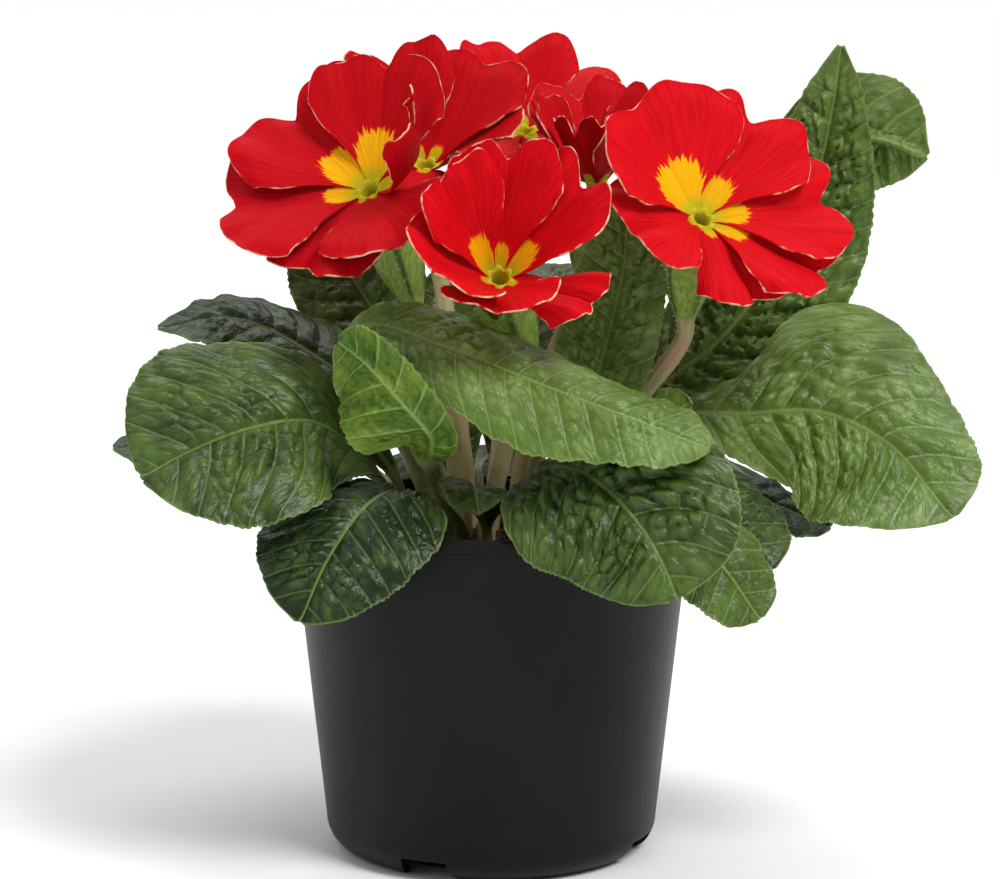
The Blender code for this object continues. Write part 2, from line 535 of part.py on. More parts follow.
def leaves():
    """Routes chosen by eye from the plant: outer leaves lie low, inner ones rise over them."""
    return [
        Leaf("leaf_left", (23, 199), 27,
             [(-30, -18, 101), (-43, -31, 114), (-58, -42, 114), (-72, -47, 109), (-83, -50, 103)],
             [(0.3, (0, -0.4, 1)), (0.6, (0.05, -1, 0.8)), (1, (-0.4, -1, 0.6))],
             cup=12, curl=30, start=0.25, widest=0.66, bulges=[(0.8, 1, 5, 0.2)]),
        Leaf("leaf_back_left", (15, 168), 20,
             [(-27, 5, 110), (-47, 11, 127), (-67, 15, 135.5), (-86, 14, 132)],
             [(0.35, (0, -0.2, 1)), (0.7, (-0.1, -0.42, 1)), (1, (-0.3, -0.3, 1))],
             cup=8, curl=45, start=0.3, point=0.5),
        Leaf("leaf_left_upright", (15, 138), 19,
             [(-16, 26, 108), (-27, 39, 128), (-39, 46, 146), (-46, 50, 160)],
             [(0.4, (0.4, -1, 0.5)), (1, (0.3, -1, 0.4))],
             cup=15, curl=30, start=0.35),
        Leaf("leaf_front_left", (23, 232), 20,
             [(-22, -33, 97), (-30, -47, 96), (-39, -56, 84), (-45, -59, 70)],
             [(0.3, (0, -0.3, 1)), (0.6, (-0.25, -1, 0.6)), (1, (-0.4, -1, 0.15))],
             cup=[(0, -18), (1, 4)], curl=28, start=0.27, far_cup=[(0, 14), (1, 8)],
             bulges=[(0.3, -1, 6, 0.25), (0.65, 1, 4, 0.3)], point=0.35),
        Leaf("leaf_front_pale", (15, 205), 18,
             [(-20, -9, 102), (-28, -15, 117), (-35, -26, 131), (-29, -36, 138), (-9, -44, 133),
             (14, -52, 125), (34, -57, 118), (51, -59, 111)],
             [(0.3, (-0.3, -0.7, 0.4)), (0.5, (0, -0.8, 0.8)), (0.7, (0, -0.7, 1)), (1, (0.3, -0.6, 1))],
             cup=[(0, 0), (0.4, -10), (1, 5)], curl=45, start=0.4, far_cup=[(0, 10), (1, 10)],
             far_curl=[(0, 60), (1, 60)]),
        Leaf("leaf_front_folded", (15, 240), 17,
             [(-14, -21, 97), (-15, -31, 104), (-14, -42, 109), (-14.5, -51, 113.5), (-21, -54.5, 121.5),
             (-29, -51, 130), (-36, -44, 135)],
             [(0.2, (0.9, 0.2, 0.3)), (0.32, (0.7, -0.7, 0.2)), (0.5, (-0.1, -1, 0)), (1, (-0.4, -1, -0.2))],
             cup=6, curl=16, start=0.42, rows=10, wave=0.6, bulges=[(0.5, 1, -9.5, 0.8)]),
        Leaf("leaf_front_right", (23, 288), 28,
             [(12, -34, 102), (21, -50, 104.5), (31, -62, 98), (38, -68, 89), (43, -71, 78)],
             [(0.3, (0, -0.4, 1)), (0.6, (-0.3, -1, 0.6)), (1, (-0.1, -1, 0.1))],
             cup=10, curl=32, start=0.22, widest=0.58, far_cup=[(0, -14), (1, 4)],
             far_curl=[(0, 20), (1, 30)], bulges=[(0.75, 1, -5, 0.25)]),
        Leaf("leaf_right_low", (23, 331), 18,
             [(33, -17, 94), (44, -23, 97), (57, -31, 90), (68, -36, 78)],
             [(0.3, (0.1, -0.3, 1)), (1, (0.5, -1, 0.6))],
             cup=6, curl=35, start=0.36),
        Leaf("leaf_right_hanging", (23, 309), 13,
             [(26, -31, 90.5), (41, -45, 90), (54, -50, 83), (64, -50, 69)],
             [(0.3, (0.1, -0.3, 1)), (1, (0.6, -1, 0.2))],
             cup=10, curl=30, start=0.5, rows=11),
        Leaf("leaf_right", (15, 355), 28,
             [(28, 0, 104), (48, -3, 112), (65, -6, 113), (83, -11, 114), (99, -19, 107),
             (113, -30, 90)],
             [(0.4, (0, -0.6, 1)), (0.6, (-0.1, -1, 0.8)), (1, (0.2, -1, 0.6))],
             cup=8, curl=24, start=0.36, widest=0.66, point=0.25,
             bulges=[(0.46, -1, 14, 0.14), (0.14, -1, -12, 0.20), (0.80, -1, -7, 0.18), (0.84, 1, 5, 0.14)]),
        Leaf("leaf_right_tall", (15, 26), 20,
             [(26, 14, 102), (43, 20, 116), (60, 22, 129), (74, 24, 147), (84, 26, 167), (89, 27, 188),
             (91, 26, 205)],
             [(0.3, (-0.6, -0.6, 0.7)), (0.6, (-0.4, -1, 0.3)), (1, (-0.3, -1, 0.1))],
             cup=10, curl=30, start=0.22, widest=0.4, far_cup=[(0, 10), (0.6, 20), (1, 60)], point=0.8,
             bulges=[(0.6, 1, 3.5, 0.25)]),
        Leaf("leaf_right_far", (15, 58), 18,
             [(12, 22, 98), (27, 34, 120), (50, 43, 145), (76, 46, 166), (98, 44, 181), (116, 40, 176)],
             [(0.5, (-0.3, 0.3, 1)), (0.7, (-0.3, 1, 0.4)), (1, (-0.2, 1, 0.2))],
             cup=10, curl=20, start=0.7, rows=11),
        Leaf("leaf_young_right", (15, 325), 13,
             [(20, -10, 104), (26, -8, 120), (31, -3, 138), (34, 2, 153), (34, 5, 168)],
             [(0.3, (-0.1, -1, 0.3)), (1, (0.1, -1, 0.3))],
             cup=26, curl=30, start=0.22, widest=0.5),
        Leaf("leaf_middle", (15, 112), 12,
             [(-8, 18, 102), (-10, 23, 118), (-10, 28, 134), (-9, 33, 147)],
             [(0.3, (0.1, -1, 0.3)), (1, (-0.1, -1, 0.3))],
             cup=18, curl=25, start=0.28, rows=10),
        Leaf("leaf_right_under", (23, 8), 13,
             [(34, 4, 90), (50, 5, 93), (68, 5, 90), (87, 2, 82)],
             [(0.4, (0, -0.2, 1)), (1, (0.1, -0.4, 1))],
             cup=8, curl=30, start=0.45, rows=9),
        Leaf("leaf_left_under", (23, 174), 15,
             [(-35, 4, 92), (-54, 7, 99), (-76, 7, 104), (-97, 5, 102)],
             [(0.4, (0, -0.1, 1)), (1, (-0.2, -0.3, 1))],
             cup=8, curl=35, start=0.4, rows=9),
        Leaf("leaf_back_right_low", (23, 46), 19,
             [(30, 28, 92), (48, 41, 96), (64, 53, 90), (76, 62, 76)],
             [(0.4, (0.1, 0.1, 1)), (1, (0.5, 0.6, 0.5))],
             cup=6, curl=35, start=0.34, rows=10),
        Leaf("leaf_back_low", (23, 72), 20,
             [(13, 34, 97), (21, 52, 106), (28, 70, 103), (33, 84, 91)],
             [(0.4, (0, 0.2, 1)), (1, (0.2, 1, 0.5))],
             cup=10, curl=35, start=0.3, rows=10),
        Leaf("leaf_back", (23, 98), 20,
             [(-5, 34, 93), (-8, 54, 96), (-11, 72, 88), (-12, 82, 73)],
             [(0.4, (0, 0.1, 1)), (1, (0, 1, 0.4))],
             cup=6, curl=35, start=0.3, rows=10),
        Leaf("leaf_back_left_low", (23, 122), 20,
             [(-18, 32, 98), (-30, 50, 108), (-41, 66, 106), (-50, 80, 94)],
             [(0.4, (0, 0.2, 1)), (1, (-0.3, 0.9, 0.5))],
             cup=10, curl=35, start=0.3, rows=10),
        Leaf("leaf_back_left_wide", (23, 148), 20,
             [(-31, 21, 93), (-50, 34, 98), (-67, 45, 95), (-81, 55, 83)],
             [(0.4, (0, 0.1, 1)), (1, (-0.5, 0.4, 1))],
             cup=6, curl=36, start=0.34, rows=10),
        Leaf("leaf_back_high", (15, 86), 19,
             [(4, 28, 106), (10, 46, 128), (17, 66, 143), (24, 86, 143)],
             [(0.4, (-0.1, -0.3, 1)), (1, (0.1, 0.5, 1))],
             cup=12, curl=40, start=0.2, rows=10),
        Leaf("leaf_small_curled", (20, 345), 9,
             [(26, -11, 96), (35, -20, 106), (42, -25, 114), (49, -26, 118)],
             [(0.3, (-0.6, -0.2, 1)), (1, (0, -1, 0.6))],
             cup=30, curl=70, start=0.35, rows=8, stalk=0.6, wave=1.8),
        Leaf("leaf_small_front", (15, 266), 9.5,
             [(-2, -19, 90), (-3, -26, 96), (-4, -34, 98), (-3, -41, 93)],
             [(0.3, (0, -0.2, 1)), (1, (0.1, -1, 0.5))],
             cup=20, curl=40, start=0.3, rows=8, stalk=0.6, wave=2.0),
        Leaf("leaf_small_left", (20, 186), 5.5,
             [(-25, -4, 97), (-32, -7, 108), (-36, -10, 117), (-38, -12, 124)],
             [(0.3, (0.3, -1, 0.4)), (1, (-0.2, -1, 0.2))],
             cup=14, curl=30, start=0.45, rows=7, stalk=0.6, wave=1.2),
        Leaf("leaf_small_right", (22, 298), 7,
             [(17, -26, 96), (26, -33, 104), (34, -40, 107), (40, -46, 105)],
             [(0.3, (0, -0.3, 1)), (1, (0.1, -0.8, 0.8))],
             cup=14, curl=30, start=0.45, rows=7, stalk=0.6, widest=0.45),
    ]


def flowers():
    """Throats, tilts, feet and petals chosen by eye; a petal's angle runs from the flower's own +X side."""
    return [
        Flower("left", (7, 190), (-30, -12, 169), (-0.38, -0.62, 0.68), (-20, -4, 142),
               [Petal(349, 34, (14, 88), 34), Petal(70, 34, (28, 36), 46), Petal(127, 35, (23, 29), 50),
               Petal(183, 36, (18, 24), 48), Petal(237, 29, (10, 14), 46), Petal(293, 28, (14, 16), 48)],
               [(-12, -2, 116)]),
        Flower("front", (7, 260), (2, -34, 149), (0.05, -0.75, 0.66), (8, -17, 125),
               [Petal(36, 34, (42, 52), 46), Petal(88, 33, (46, 54), 46), Petal(140, 30, (50, 58), 48),
               Petal(212, 31, (42, 56), 58), Petal(268, 27, (38, 48), 50), Petal(328, 28, (26, 30), 24)],
               [(4, -11, 106)]),
        Flower("right", (7, 330), (52, -14, 162), (0.33, -0.68, 0.65), (49, -4, 138),
               [Petal(18, 35, (14, 16), 44), Petal(68, 34, (20, 26), 44), Petal(136, 33, (18, 34), 62),
               Petal(213, 27, (14, 24), 44), Petal(299, 26, (9, 8), 32), Petal(336, 33, (14, 14), 38)],
               [(24, -4, 102), (42, -4, 122)]),
        Flower("back_left", (7, 140), (-17, 18, 174), (0.0, -0.45, 0.9), (-14, 15, 150),
               [Petal(346, 28, (33, 38), 48), Petal(57, 34, (35, 42), 54), Petal(115, 33, (42, 50), 46),
               Petal(185, 26, (40, 50), 42), Petal(262, 26, (16, 18), 50)],
               [(-9, 8, 115)]),
        Flower("back", (7, 90), (9, 50, 182), (0.0, -0.4, 0.92), (8, 57, 159),
               [Petal(28, 33, (12, 16), 50), Petal(95, 29, (34, 38), 50), Petal(155, 31, (22, 26), 46),
               Petal(222, 24, (6, 4), 42), Petal(292, 24, (6, 4), 44)],
               [(4, 27, 118)]),
        Flower("middle", (7, 40), (27, 23, 170), (-0.05, -0.2, 0.97), (24, 20, 147),
               [Petal(28, 28, (46, 58), 44), Petal(98, 31, (44, 52), 52), Petal(168, 25, (54, 66), 46),
               Petal(242, 22, (56, 74), 46), Petal(314, 24, (50, 62), 44)],
               [(11, 10, 112)]),
    ]


def main():
    clear_scene()
    plant = new_collection("Potted primrose")
    cutters = new_collection("Cutters")
    leaf_green = new_material("Leaf", GREEN, 0.45)
    pale_green = new_material("Stem", PALE_GREEN, 0.6)
    red = new_material("Petal", RED, 0.5)
    black = new_material("Black plastic", BLACK, 0.5)
    peat = new_material("Peat", PEAT, 0.95)
    build_pot(plant, cutters, black)
    holes = []
    for leaf in leaves():
        leaf.build(plant, leaf_green)
        holes.append(leaf.hole)
    for flower in flowers():
        flower.build_corolla(plant, red)
        flower.build_stem(plant, pale_green)
        holes.append((*flower.root, STEM_HOLE_R))
    build_soil(plant, cutters, peat, holes)


main()
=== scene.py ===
"""Potted primrose: red flowers with yellow star eyes over quilted leaves, in a plain black nursery pot."""

import math

import bpy
import numpy as np
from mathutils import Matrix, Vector


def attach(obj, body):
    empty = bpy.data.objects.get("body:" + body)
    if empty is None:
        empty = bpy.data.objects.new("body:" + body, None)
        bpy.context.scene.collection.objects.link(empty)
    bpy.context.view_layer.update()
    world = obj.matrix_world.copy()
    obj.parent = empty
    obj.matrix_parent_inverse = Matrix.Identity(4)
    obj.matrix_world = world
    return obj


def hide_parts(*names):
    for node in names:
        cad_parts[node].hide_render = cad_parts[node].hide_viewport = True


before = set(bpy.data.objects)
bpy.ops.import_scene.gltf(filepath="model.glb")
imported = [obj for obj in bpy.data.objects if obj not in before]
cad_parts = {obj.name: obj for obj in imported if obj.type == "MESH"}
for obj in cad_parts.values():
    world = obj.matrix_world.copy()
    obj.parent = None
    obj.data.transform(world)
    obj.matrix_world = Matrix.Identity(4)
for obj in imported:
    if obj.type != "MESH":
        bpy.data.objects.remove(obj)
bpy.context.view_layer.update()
MM = 0.001

# Pot: one thin moulding of black polypropylene with a rolled rim, a round foot corner and a
# raised floor. It stands on the disc in its floor, and four drain notches open through its foot.
RIM_R = 52.5
RIM_LIP = 1.1
RIM_H = 3.0
RIM_ROUND = 0.5
LIP_ROUND = 0.8
POT_H = 88.0
BASE_R = 41.8
CORNER_R = 8.0
WALL = 1.3
FLOOR_Z = 5.8
DISC_R = 28.5
DISC_WALL = 1.4
POT_STEPS = 160
NOTCHES = 4
NOTCH_SPAN = 23.0
NOTCH_FIRST = -113.7
NOTCH_H = 5.6
NOTCH_TAPER = 0.72


def select_none():
    """Leave nothing selected, so that an operator acts on the new piece alone."""
    for obj in bpy.context.selected_objects:
        obj.select_set(False)


def only(obj):
    """Make one object the selected and active one."""
    select_none()
    obj.select_set(True)
    bpy.context.view_layer.objects.active = obj


def turned(name, profile, steps):
    """Spin a closed profile of (radius, height) points about the Z axis."""
    select_none()
    bpy.ops.mesh.primitive_circle_add(vertices=len(profile), radius=1)
    obj = bpy.context.active_object
    obj.name = name
    for vert, (r, z) in zip(obj.data.vertices, profile):
        vert.co = (r * MM, 0, z * MM)
    bpy.ops.object.mode_set(mode="EDIT")
    bpy.ops.mesh.select_all(action="SELECT")
    bpy.ops.mesh.spin(steps=steps, angle=2 * math.pi, center=(0, 0, 0), axis=(0, 0, 1))
    bpy.ops.mesh.select_all(action="SELECT")
    bpy.ops.mesh.remove_doubles(threshold=0.000005)
    bpy.ops.mesh.delete_loose(use_verts=True, use_edges=True, use_faces=False)
    bpy.ops.mesh.select_all(action="SELECT")
    bpy.ops.mesh.normals_make_consistent(inside=False)
    bpy.ops.object.mode_set(mode="OBJECT")
    return obj


def arc(cx, cz, radius, start, end, count):
    """Points of a round corner, angles in degrees from the radius towards +Z."""
    points = []
    for k in range(count + 1):
        a = math.radians(start + (end - start) * k / count)
        points.append((cx + radius * math.cos(a), cz + radius * math.sin(a)))
    return points


def wall_radius(z):
    """Outer radius of the tapered pot wall at a height."""
    return BASE_R + (RIM_R - RIM_LIP - BASE_R) * z / POT_H


def smooth_by_angle(obj, degrees):
    """Shade smooth, but keep edges sharp that are steeper than an angle."""
    only(obj)
    bpy.ops.object.shade_smooth_by_angle(angle=math.radians(degrees))


lip = RIM_H / 4
mouth_r = wall_radius(POT_H) - WALL
corner_r = wall_radius(CORNER_R) - CORNER_R
inside_r = wall_radius(CORNER_R) - WALL
pot = turned("pot_fine", [
    (mouth_r, POT_H - lip), *arc(mouth_r + LIP_ROUND, POT_H - LIP_ROUND, LIP_ROUND, 160, 80, 5),
    *arc(RIM_R - lip, POT_H - lip, lip, 70, 0, 6), (RIM_R, POT_H - RIM_H + RIM_ROUND),
    *arc(RIM_R - RIM_ROUND, POT_H - RIM_H + 0.2, RIM_ROUND, 0, -80, 4),
    (wall_radius(POT_H - RIM_H - 0.6), POT_H - RIM_H - 0.6),
    *((wall_radius(z), z) for z in (70.0, 50.0, 30.0, 15.0)),
    *arc(corner_r, CORNER_R, CORNER_R, 0, -90, 14), *arc(corner_r, CORNER_R, CORNER_R - WALL, -90, -20, 8),
    (DISC_R + 0.6, FLOOR_Z), (DISC_R, FLOOR_Z - 0.6), (DISC_R, 0.5), (DISC_R - 0.5, 0), (0, 0),
    (0, DISC_WALL), (DISC_R - DISC_WALL, DISC_WALL), (DISC_R - DISC_WALL, FLOOR_Z + DISC_WALL),
    (inside_r - 1, FLOOR_Z + DISC_WALL), (inside_r, CORNER_R + DISC_WALL),
], POT_STEPS)
for k in range(NOTCHES):
    select_none()
    bpy.ops.mesh.primitive_cube_add(size=1)
    wedge = bpy.context.active_object
    width = 2 * BASE_R * math.sin(math.radians(NOTCH_SPAN / 2))
    depth = BASE_R - DISC_R + 2
    for vert in wedge.data.vertices:
        flare = 1.0 if vert.co.z < 0 else NOTCH_TAPER
        vert.co.x = (DISC_R + 1 + (vert.co.x + 0.5) * depth) * MM
        vert.co.y *= width * flare * MM
        vert.co.z *= 2 * NOTCH_H * MM
    wedge.rotation_euler.z = math.radians(NOTCH_FIRST + 360 / NOTCHES * k)
    cut = pot.modifiers.new("Notch", "BOOLEAN")
    cut.operation = "DIFFERENCE"
    cut.object = wedge
    only(pot)
    bpy.ops.object.modifier_apply(modifier="Notch")
    bpy.data.objects.remove(wedge)
smooth_by_angle(pot, 32)


class Finish:
    """The nodes of a material, or of a group that materials share, with short ways to add and join them."""

    def __init__(self, tree):
        self.nodes, self.links = tree.nodes, tree.links

    def put(self, value, socket):
        """Link an output to a socket, or set the socket to a number or a colour."""
        if isinstance(value, bpy.types.NodeSocket):
            self.links.new(value, socket)
        else:
            socket.default_value = (*value, 1.0) if socket.type == "RGBA" else value

    def give(self, name, value):
        """Feed one of the shader's own sockets."""
        self.put(value, self.shader.inputs[name])

    def added(self, kind, values, output, **settings):
        """A new node with its settings and its inputs, by name or number; gives one of its outputs."""
        node = self.nodes.new(kind)
        for name, value in settings.items():
            setattr(node, name, value)
        for key, value in values.items():
            self.put(value, node.inputs[key])
        return node.outputs[output]

    def math(self, operation, *values, clamp=False):
        """One Math node on outputs or numbers."""
        return self.added("ShaderNodeMath", dict(enumerate(values)), 0, operation=operation, use_clamp=clamp)

    def mix(self, share, first, second):
        """Colour between two colours or colour outputs, which are a Mix node's sockets 6 and 7."""
        return self.added("ShaderNodeMix", {0: share, 6: first, 7: second}, 2, data_type="RGBA")

    def step(self, value, low, high):
        """0 below low, 1 above high and smooth in between, or the other way round."""
        sockets = {"Value": value, "From Min": low, "From Max": high}
        return self.added("ShaderNodeMapRange", sockets, "Result", interpolation_type="SMOOTHSTEP")

    def read(self, name):
        """A number kept with the mesh."""
        return self.added("ShaderNodeAttribute", {}, "Fac", attribute_name=name)

    def mottled(self, size, detail=3.0, stretch=(1.0, 1.0, 1.0)):
        """Soft blotches of a size in mm, from the Mottle group."""
        sockets = {"Size mm": size, "Detail": detail, "Stretch": stretch}
        return self.added("ShaderNodeGroup", sockets, "Value", node_tree=mottle)

    def bump(self, height, distance):
        """Fine relief on the shader's normal, with its full height in metres."""
        sockets = {"Height": height, "Distance": distance}
        self.give("Normal", self.added("ShaderNodeBump", sockets, "Normal"))


def shared_group(name, inputs, outputs):
    """A node group with its sockets made; gives it, its nodes, what comes in and what goes out."""
    group = bpy.data.node_groups.new(name, "ShaderNodeTree")
    for in_out, names in (("INPUT", inputs), ("OUTPUT", outputs)):
        for socket_name in names:
            kind = "NodeSocketVector" if socket_name == "Stretch" else "NodeSocketFloat"
            group.interface.new_socket(name=socket_name, in_out=in_out, socket_type=kind)
    inside = Finish(group)
    given = inside.nodes.new("NodeGroupInput").outputs
    return group, inside, given, inside.nodes.new("NodeGroupOutput").inputs


def new_finish(name, roughness):
    """A material with its shader ready to be fed."""
    material = bpy.data.materials.new(name)
    material.use_nodes = True
    finish = Finish(material.node_tree)
    finish.material = material
    finish.shader = finish.nodes["Principled BSDF"]
    finish.give("Roughness", roughness)
    return finish


def two_tone(name, roughness, blotches, span, dark, light):
    """A finish that is blotched between two colours."""
    finish = new_finish(name, roughness)
    finish.give("Base Color", finish.mix(finish.step(finish.mottled(*blotches), *span), dark, light))
    return finish


def wear(obj, *finishes):
    """Give a piece its finishes, in the order of its material slots."""
    for finish in finishes:
        obj.data.materials.append(finish.material)


# Mottle: soft blotches in the piece's own space, stretched along an axis as a vector says
mottle, inside, given, result = shared_group("Mottle", ("Size mm", "Detail", "Stretch"), ("Value",))
own_place = inside.added("ShaderNodeTexCoord", {}, "Object")
stretched = inside.added("ShaderNodeVectorMath", {0: own_place, 1: given["Stretch"]}, 0, operation="MULTIPLY")
fineness = inside.math("DIVIDE", 1000.0, given["Size mm"])
noise_inputs = {"Vector": stretched, "Scale": fineness, "Detail": given["Detail"]}
inside.put(inside.added("ShaderNodeTexNoise", noise_inputs, "Fac"), result["Value"])

plastic = two_tone("Black polypropylene", 0.5, (30.0,), (0.35, 0.70),
                   (0.0038, 0.0036, 0.0034), (0.0062, 0.0058, 0.0054))
plastic.give("Specular IOR Level", 0.16)
drag = plastic.mottled(0.9, 2.0, (1.0, 1.0, 0.06))
plastic.give("Roughness", plastic.math("MULTIPLY_ADD", drag, 0.14, 0.36))
plastic.bump(plastic.mottled(0.55, 2.0), 0.00005)
wear(pot, plastic)
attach(pot, "root")
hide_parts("pot")

# Soil: moist peat filled to a little under the rim, dark with red-brown crumbs and short root
# fibres lying on it. The crumbs are one piece on the body of the soil.
SOIL_Z = 80.0
SOIL_LUMP = 1.0
SOIL_STEPS = 120
SOIL_RINGS = 44
SOIL_GRAIN = 0.35
CRUMBS = 620
FIBRES = 90
FIBRE_R = 0.11
FIBRE_RINGS = 6
GAP = 0.3


def soil_height(x, y):
    """Crumbly top of the soil: crossing waves of unlike length."""
    lump = np.sin(0.9 * x + 0.4 * y) * np.cos(0.7 * y - 0.3 * x) + 0.6 * np.sin(1.7 * y + 0.5 * x)
    grain = np.sin(2.9 * x - 1.3 * y) * np.sin(2.3 * y + 1.9 * x) + 0.5 * np.sin(4.7 * x + 3.9 * y)
    return SOIL_Z + SOIL_LUMP * lump + SOIL_GRAIN * grain


shelf = FLOOR_Z + DISC_WALL + GAP
edge_r = wall_radius(CORNER_R) - WALL - GAP
rim_r = wall_radius(SOIL_Z) - WALL - GAP
soil_profile = [(rim_r * k / SOIL_RINGS, SOIL_Z) for k in range(SOIL_RINGS + 1)]
soil_profile += [(edge_r + 0.1, CORNER_R + DISC_WALL + 0.6), (edge_r - 1.2, shelf)]
well_r = DISC_R - DISC_WALL - GAP
soil_profile += [(well_r, shelf), (well_r, DISC_WALL + GAP), (0, DISC_WALL + GAP)]
soil = turned("soil_fine", soil_profile, SOIL_STEPS)


def vertex_places(obj):
    """All vertex places of a mesh as rows, in millimetres."""
    flat = np.zeros(len(obj.data.vertices) * 3)
    obj.data.vertices.foreach_get("co", flat)
    return flat.reshape(-1, 3) / MM


def set_places(obj, rows):
    """Move all vertices of a mesh to places given in millimetres."""
    obj.data.vertices.foreach_set("co", (rows * MM).astype(np.float32).ravel())
    obj.data.update()


rows = vertex_places(soil)
top = (rows[:, 2] > SOIL_Z - 0.01) & (np.hypot(rows[:, 0], rows[:, 1]) < rim_r - 0.5)
rows[top, 2] = soil_height(rows[top, 0], rows[top, 1])
set_places(soil, rows)
smooth_by_angle(soil, 60)


def joined_copies(name, shape, copies):
    """One mesh of many placed copies of a small closed shape, each given as its own vertex rows."""
    verts = np.concatenate(copies) * MM
    count = len(copies[0])
    faces = [tuple(q + count * k for q in face) for k in range(len(copies)) for face in shape]
    mesh = bpy.data.meshes.new(name)
    mesh.from_pydata(verts.tolist(), [], faces)
    mesh.update()
    obj = bpy.data.objects.new(name, mesh)
    bpy.context.scene.collection.objects.link(obj)
    return obj


select_none()
bpy.ops.mesh.primitive_uv_sphere_add(segments=7, ring_count=5, radius=1)
seed_crumb = bpy.context.active_object
crumb_rows = vertex_places(seed_crumb) * MM
crumb_faces = [tuple(p.vertices) for p in seed_crumb.data.polygons]
bpy.data.objects.remove(seed_crumb)
draw = np.random.default_rng(11)


def spot_on_soil(room):
    """A random place on the soil, with some room to its edge."""
    r = (rim_r - room) * math.sqrt(draw.random())
    a = draw.random() * 2 * math.pi
    return r * math.cos(a), r * math.sin(a)


copies = []
for k in range(CRUMBS):
    size = 0.45 + 1.5 * draw.random() ** 3
    wobble = 1 + 0.34 * np.sin(crumb_rows @ draw.normal(0, 2.6, 3) + 6 * draw.random())
    shape = crumb_rows * wobble[:, None] * (size * draw.uniform(0.6, 1.25, 3))
    turn = draw.random() * 2 * math.pi
    spin = np.array([[math.cos(turn), -math.sin(turn), 0], [math.sin(turn), math.cos(turn), 0], [0, 0, 1]])
    x, y = spot_on_soil(2.5)
    copies.append(shape @ spin.T + np.array([x, y, soil_height(x, y) + 0.3 * size]))
crumbs = joined_copies("soil_crumbs", crumb_faces, copies)
smooth_by_angle(crumbs, 50)

fibre_faces = []
for k in range(FIBRE_RINGS - 1):
    for j in range(3):
        n = (j + 1) % 3
        fibre_faces.append((3 * k + j, 3 * k + n, 3 * k + 3 + n, 3 * k + 3 + j))
fibre_faces += [(2, 1, 0), (3 * FIBRE_RINGS - 3, 3 * FIBRE_RINGS - 2, 3 * FIBRE_RINGS - 1)]
copies = []
for k in range(FIBRES):
    x, y = spot_on_soil(5)
    heading = draw.random() * 2 * math.pi
    length = 3 + 6 * draw.random()
    bow = draw.normal(0, 0.5)
    ring_rows = []
    for q in np.linspace(0, 1, FIBRE_RINGS):
        way = heading + bow * (q - 0.5)
        cx = x + length * (q - 0.5) * math.cos(way)
        cy = y + length * (q - 0.5) * math.sin(way)
        cz = soil_height(cx, cy) + 0.55 + 0.5 * math.sin(math.pi * q)
        for j in range(3):
            w = 2 * math.pi * j / 3
            out = FIBRE_R * math.cos(w)
            ring_rows.append((cx - out * math.sin(way), cy + out * math.cos(way), cz + FIBRE_R * math.sin(w)))
    copies.append(np.array(ring_rows))
fibres = joined_copies("soil_fibres", fibre_faces, copies)

peat = two_tone("Moist peat", 0.92, (2.4, 4.0), (0.42, 0.66), (0.012, 0.007, 0.005), (0.052, 0.026, 0.014))
peat.bump(peat.mottled(0.8, 4.0), 0.0006)
crumb_brown = two_tone("Peat crumb", 0.85, (3.0, 3.0), (0.40, 0.62),
                       (0.020, 0.010, 0.006), (0.115, 0.047, 0.022))
crumb_brown.bump(crumb_brown.mottled(0.5, 3.0), 0.0003)
fibre_tan = two_tone("Root fibre", 0.8, (5.0, 2.0), (0.40, 0.62), (0.10, 0.055, 0.028), (0.22, 0.15, 0.085))
for piece, finish in ((soil, peat), (crumbs, crumb_brown), (fibres, fibre_tan)):
    wear(piece, finish)
    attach(piece, "root")
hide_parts("soil")

# Leaves: a rosette of tongue-shaped leaves, each one blade on a channelled stalk. Veins are sunk
# in the upper face and stand out below, so the blade is quilted between them, and its edge is
# scalloped and a little frilled. Each leaf's stalk goes down into the soil.
HOLE_DEPTH = 10.0
FOOT_LEAN = 1.03
BLADE_T = 0.62
BLADE_EDGE_T = 0.34
STALK_T = 2.2
STALK_HALF = 2.0
STALK_LIFT = 0.9
STALK_SHARE = 0.16
TIP_CUT = 0.9985
WIDEST_AT = 0.62
POINT_POWER = 1.7
ROUTE_STEPS = 40
LINE_POINTS = 400
SMOOTH_SPAN = 41
ARCH_DEPTH = 1.15
CELL_DEPTH = 1.0
PUCKER_DEPTH = 0.28
CELL_JITTER = 0.75
MIDRIB_DEPTH = 0.7
TOOTH_PITCH = 2.4
TOOTH_DEPTH = 0.5
FRILL = 0.5
FRILL_PITCH = 9.0
VEIN_SLANT = 0.03
EDGE_WAVES = 2.5


def stalk_foot(hole):
    """The straight start of a stalk: up from its foot down in the soil, then leaning out a little over the
    soil.
    """
    radius, azimuth = hole[0], math.radians(hole[1])
    x, y = radius * math.cos(azimuth), radius * math.sin(azimuth)
    low = SOIL_Z - HOLE_DEPTH + GAP
    return [(x, y, low), (x, y, SOIL_Z - 2), (x * FOOT_LEAN, y * FOOT_LEAN, SOIL_Z + 3)]


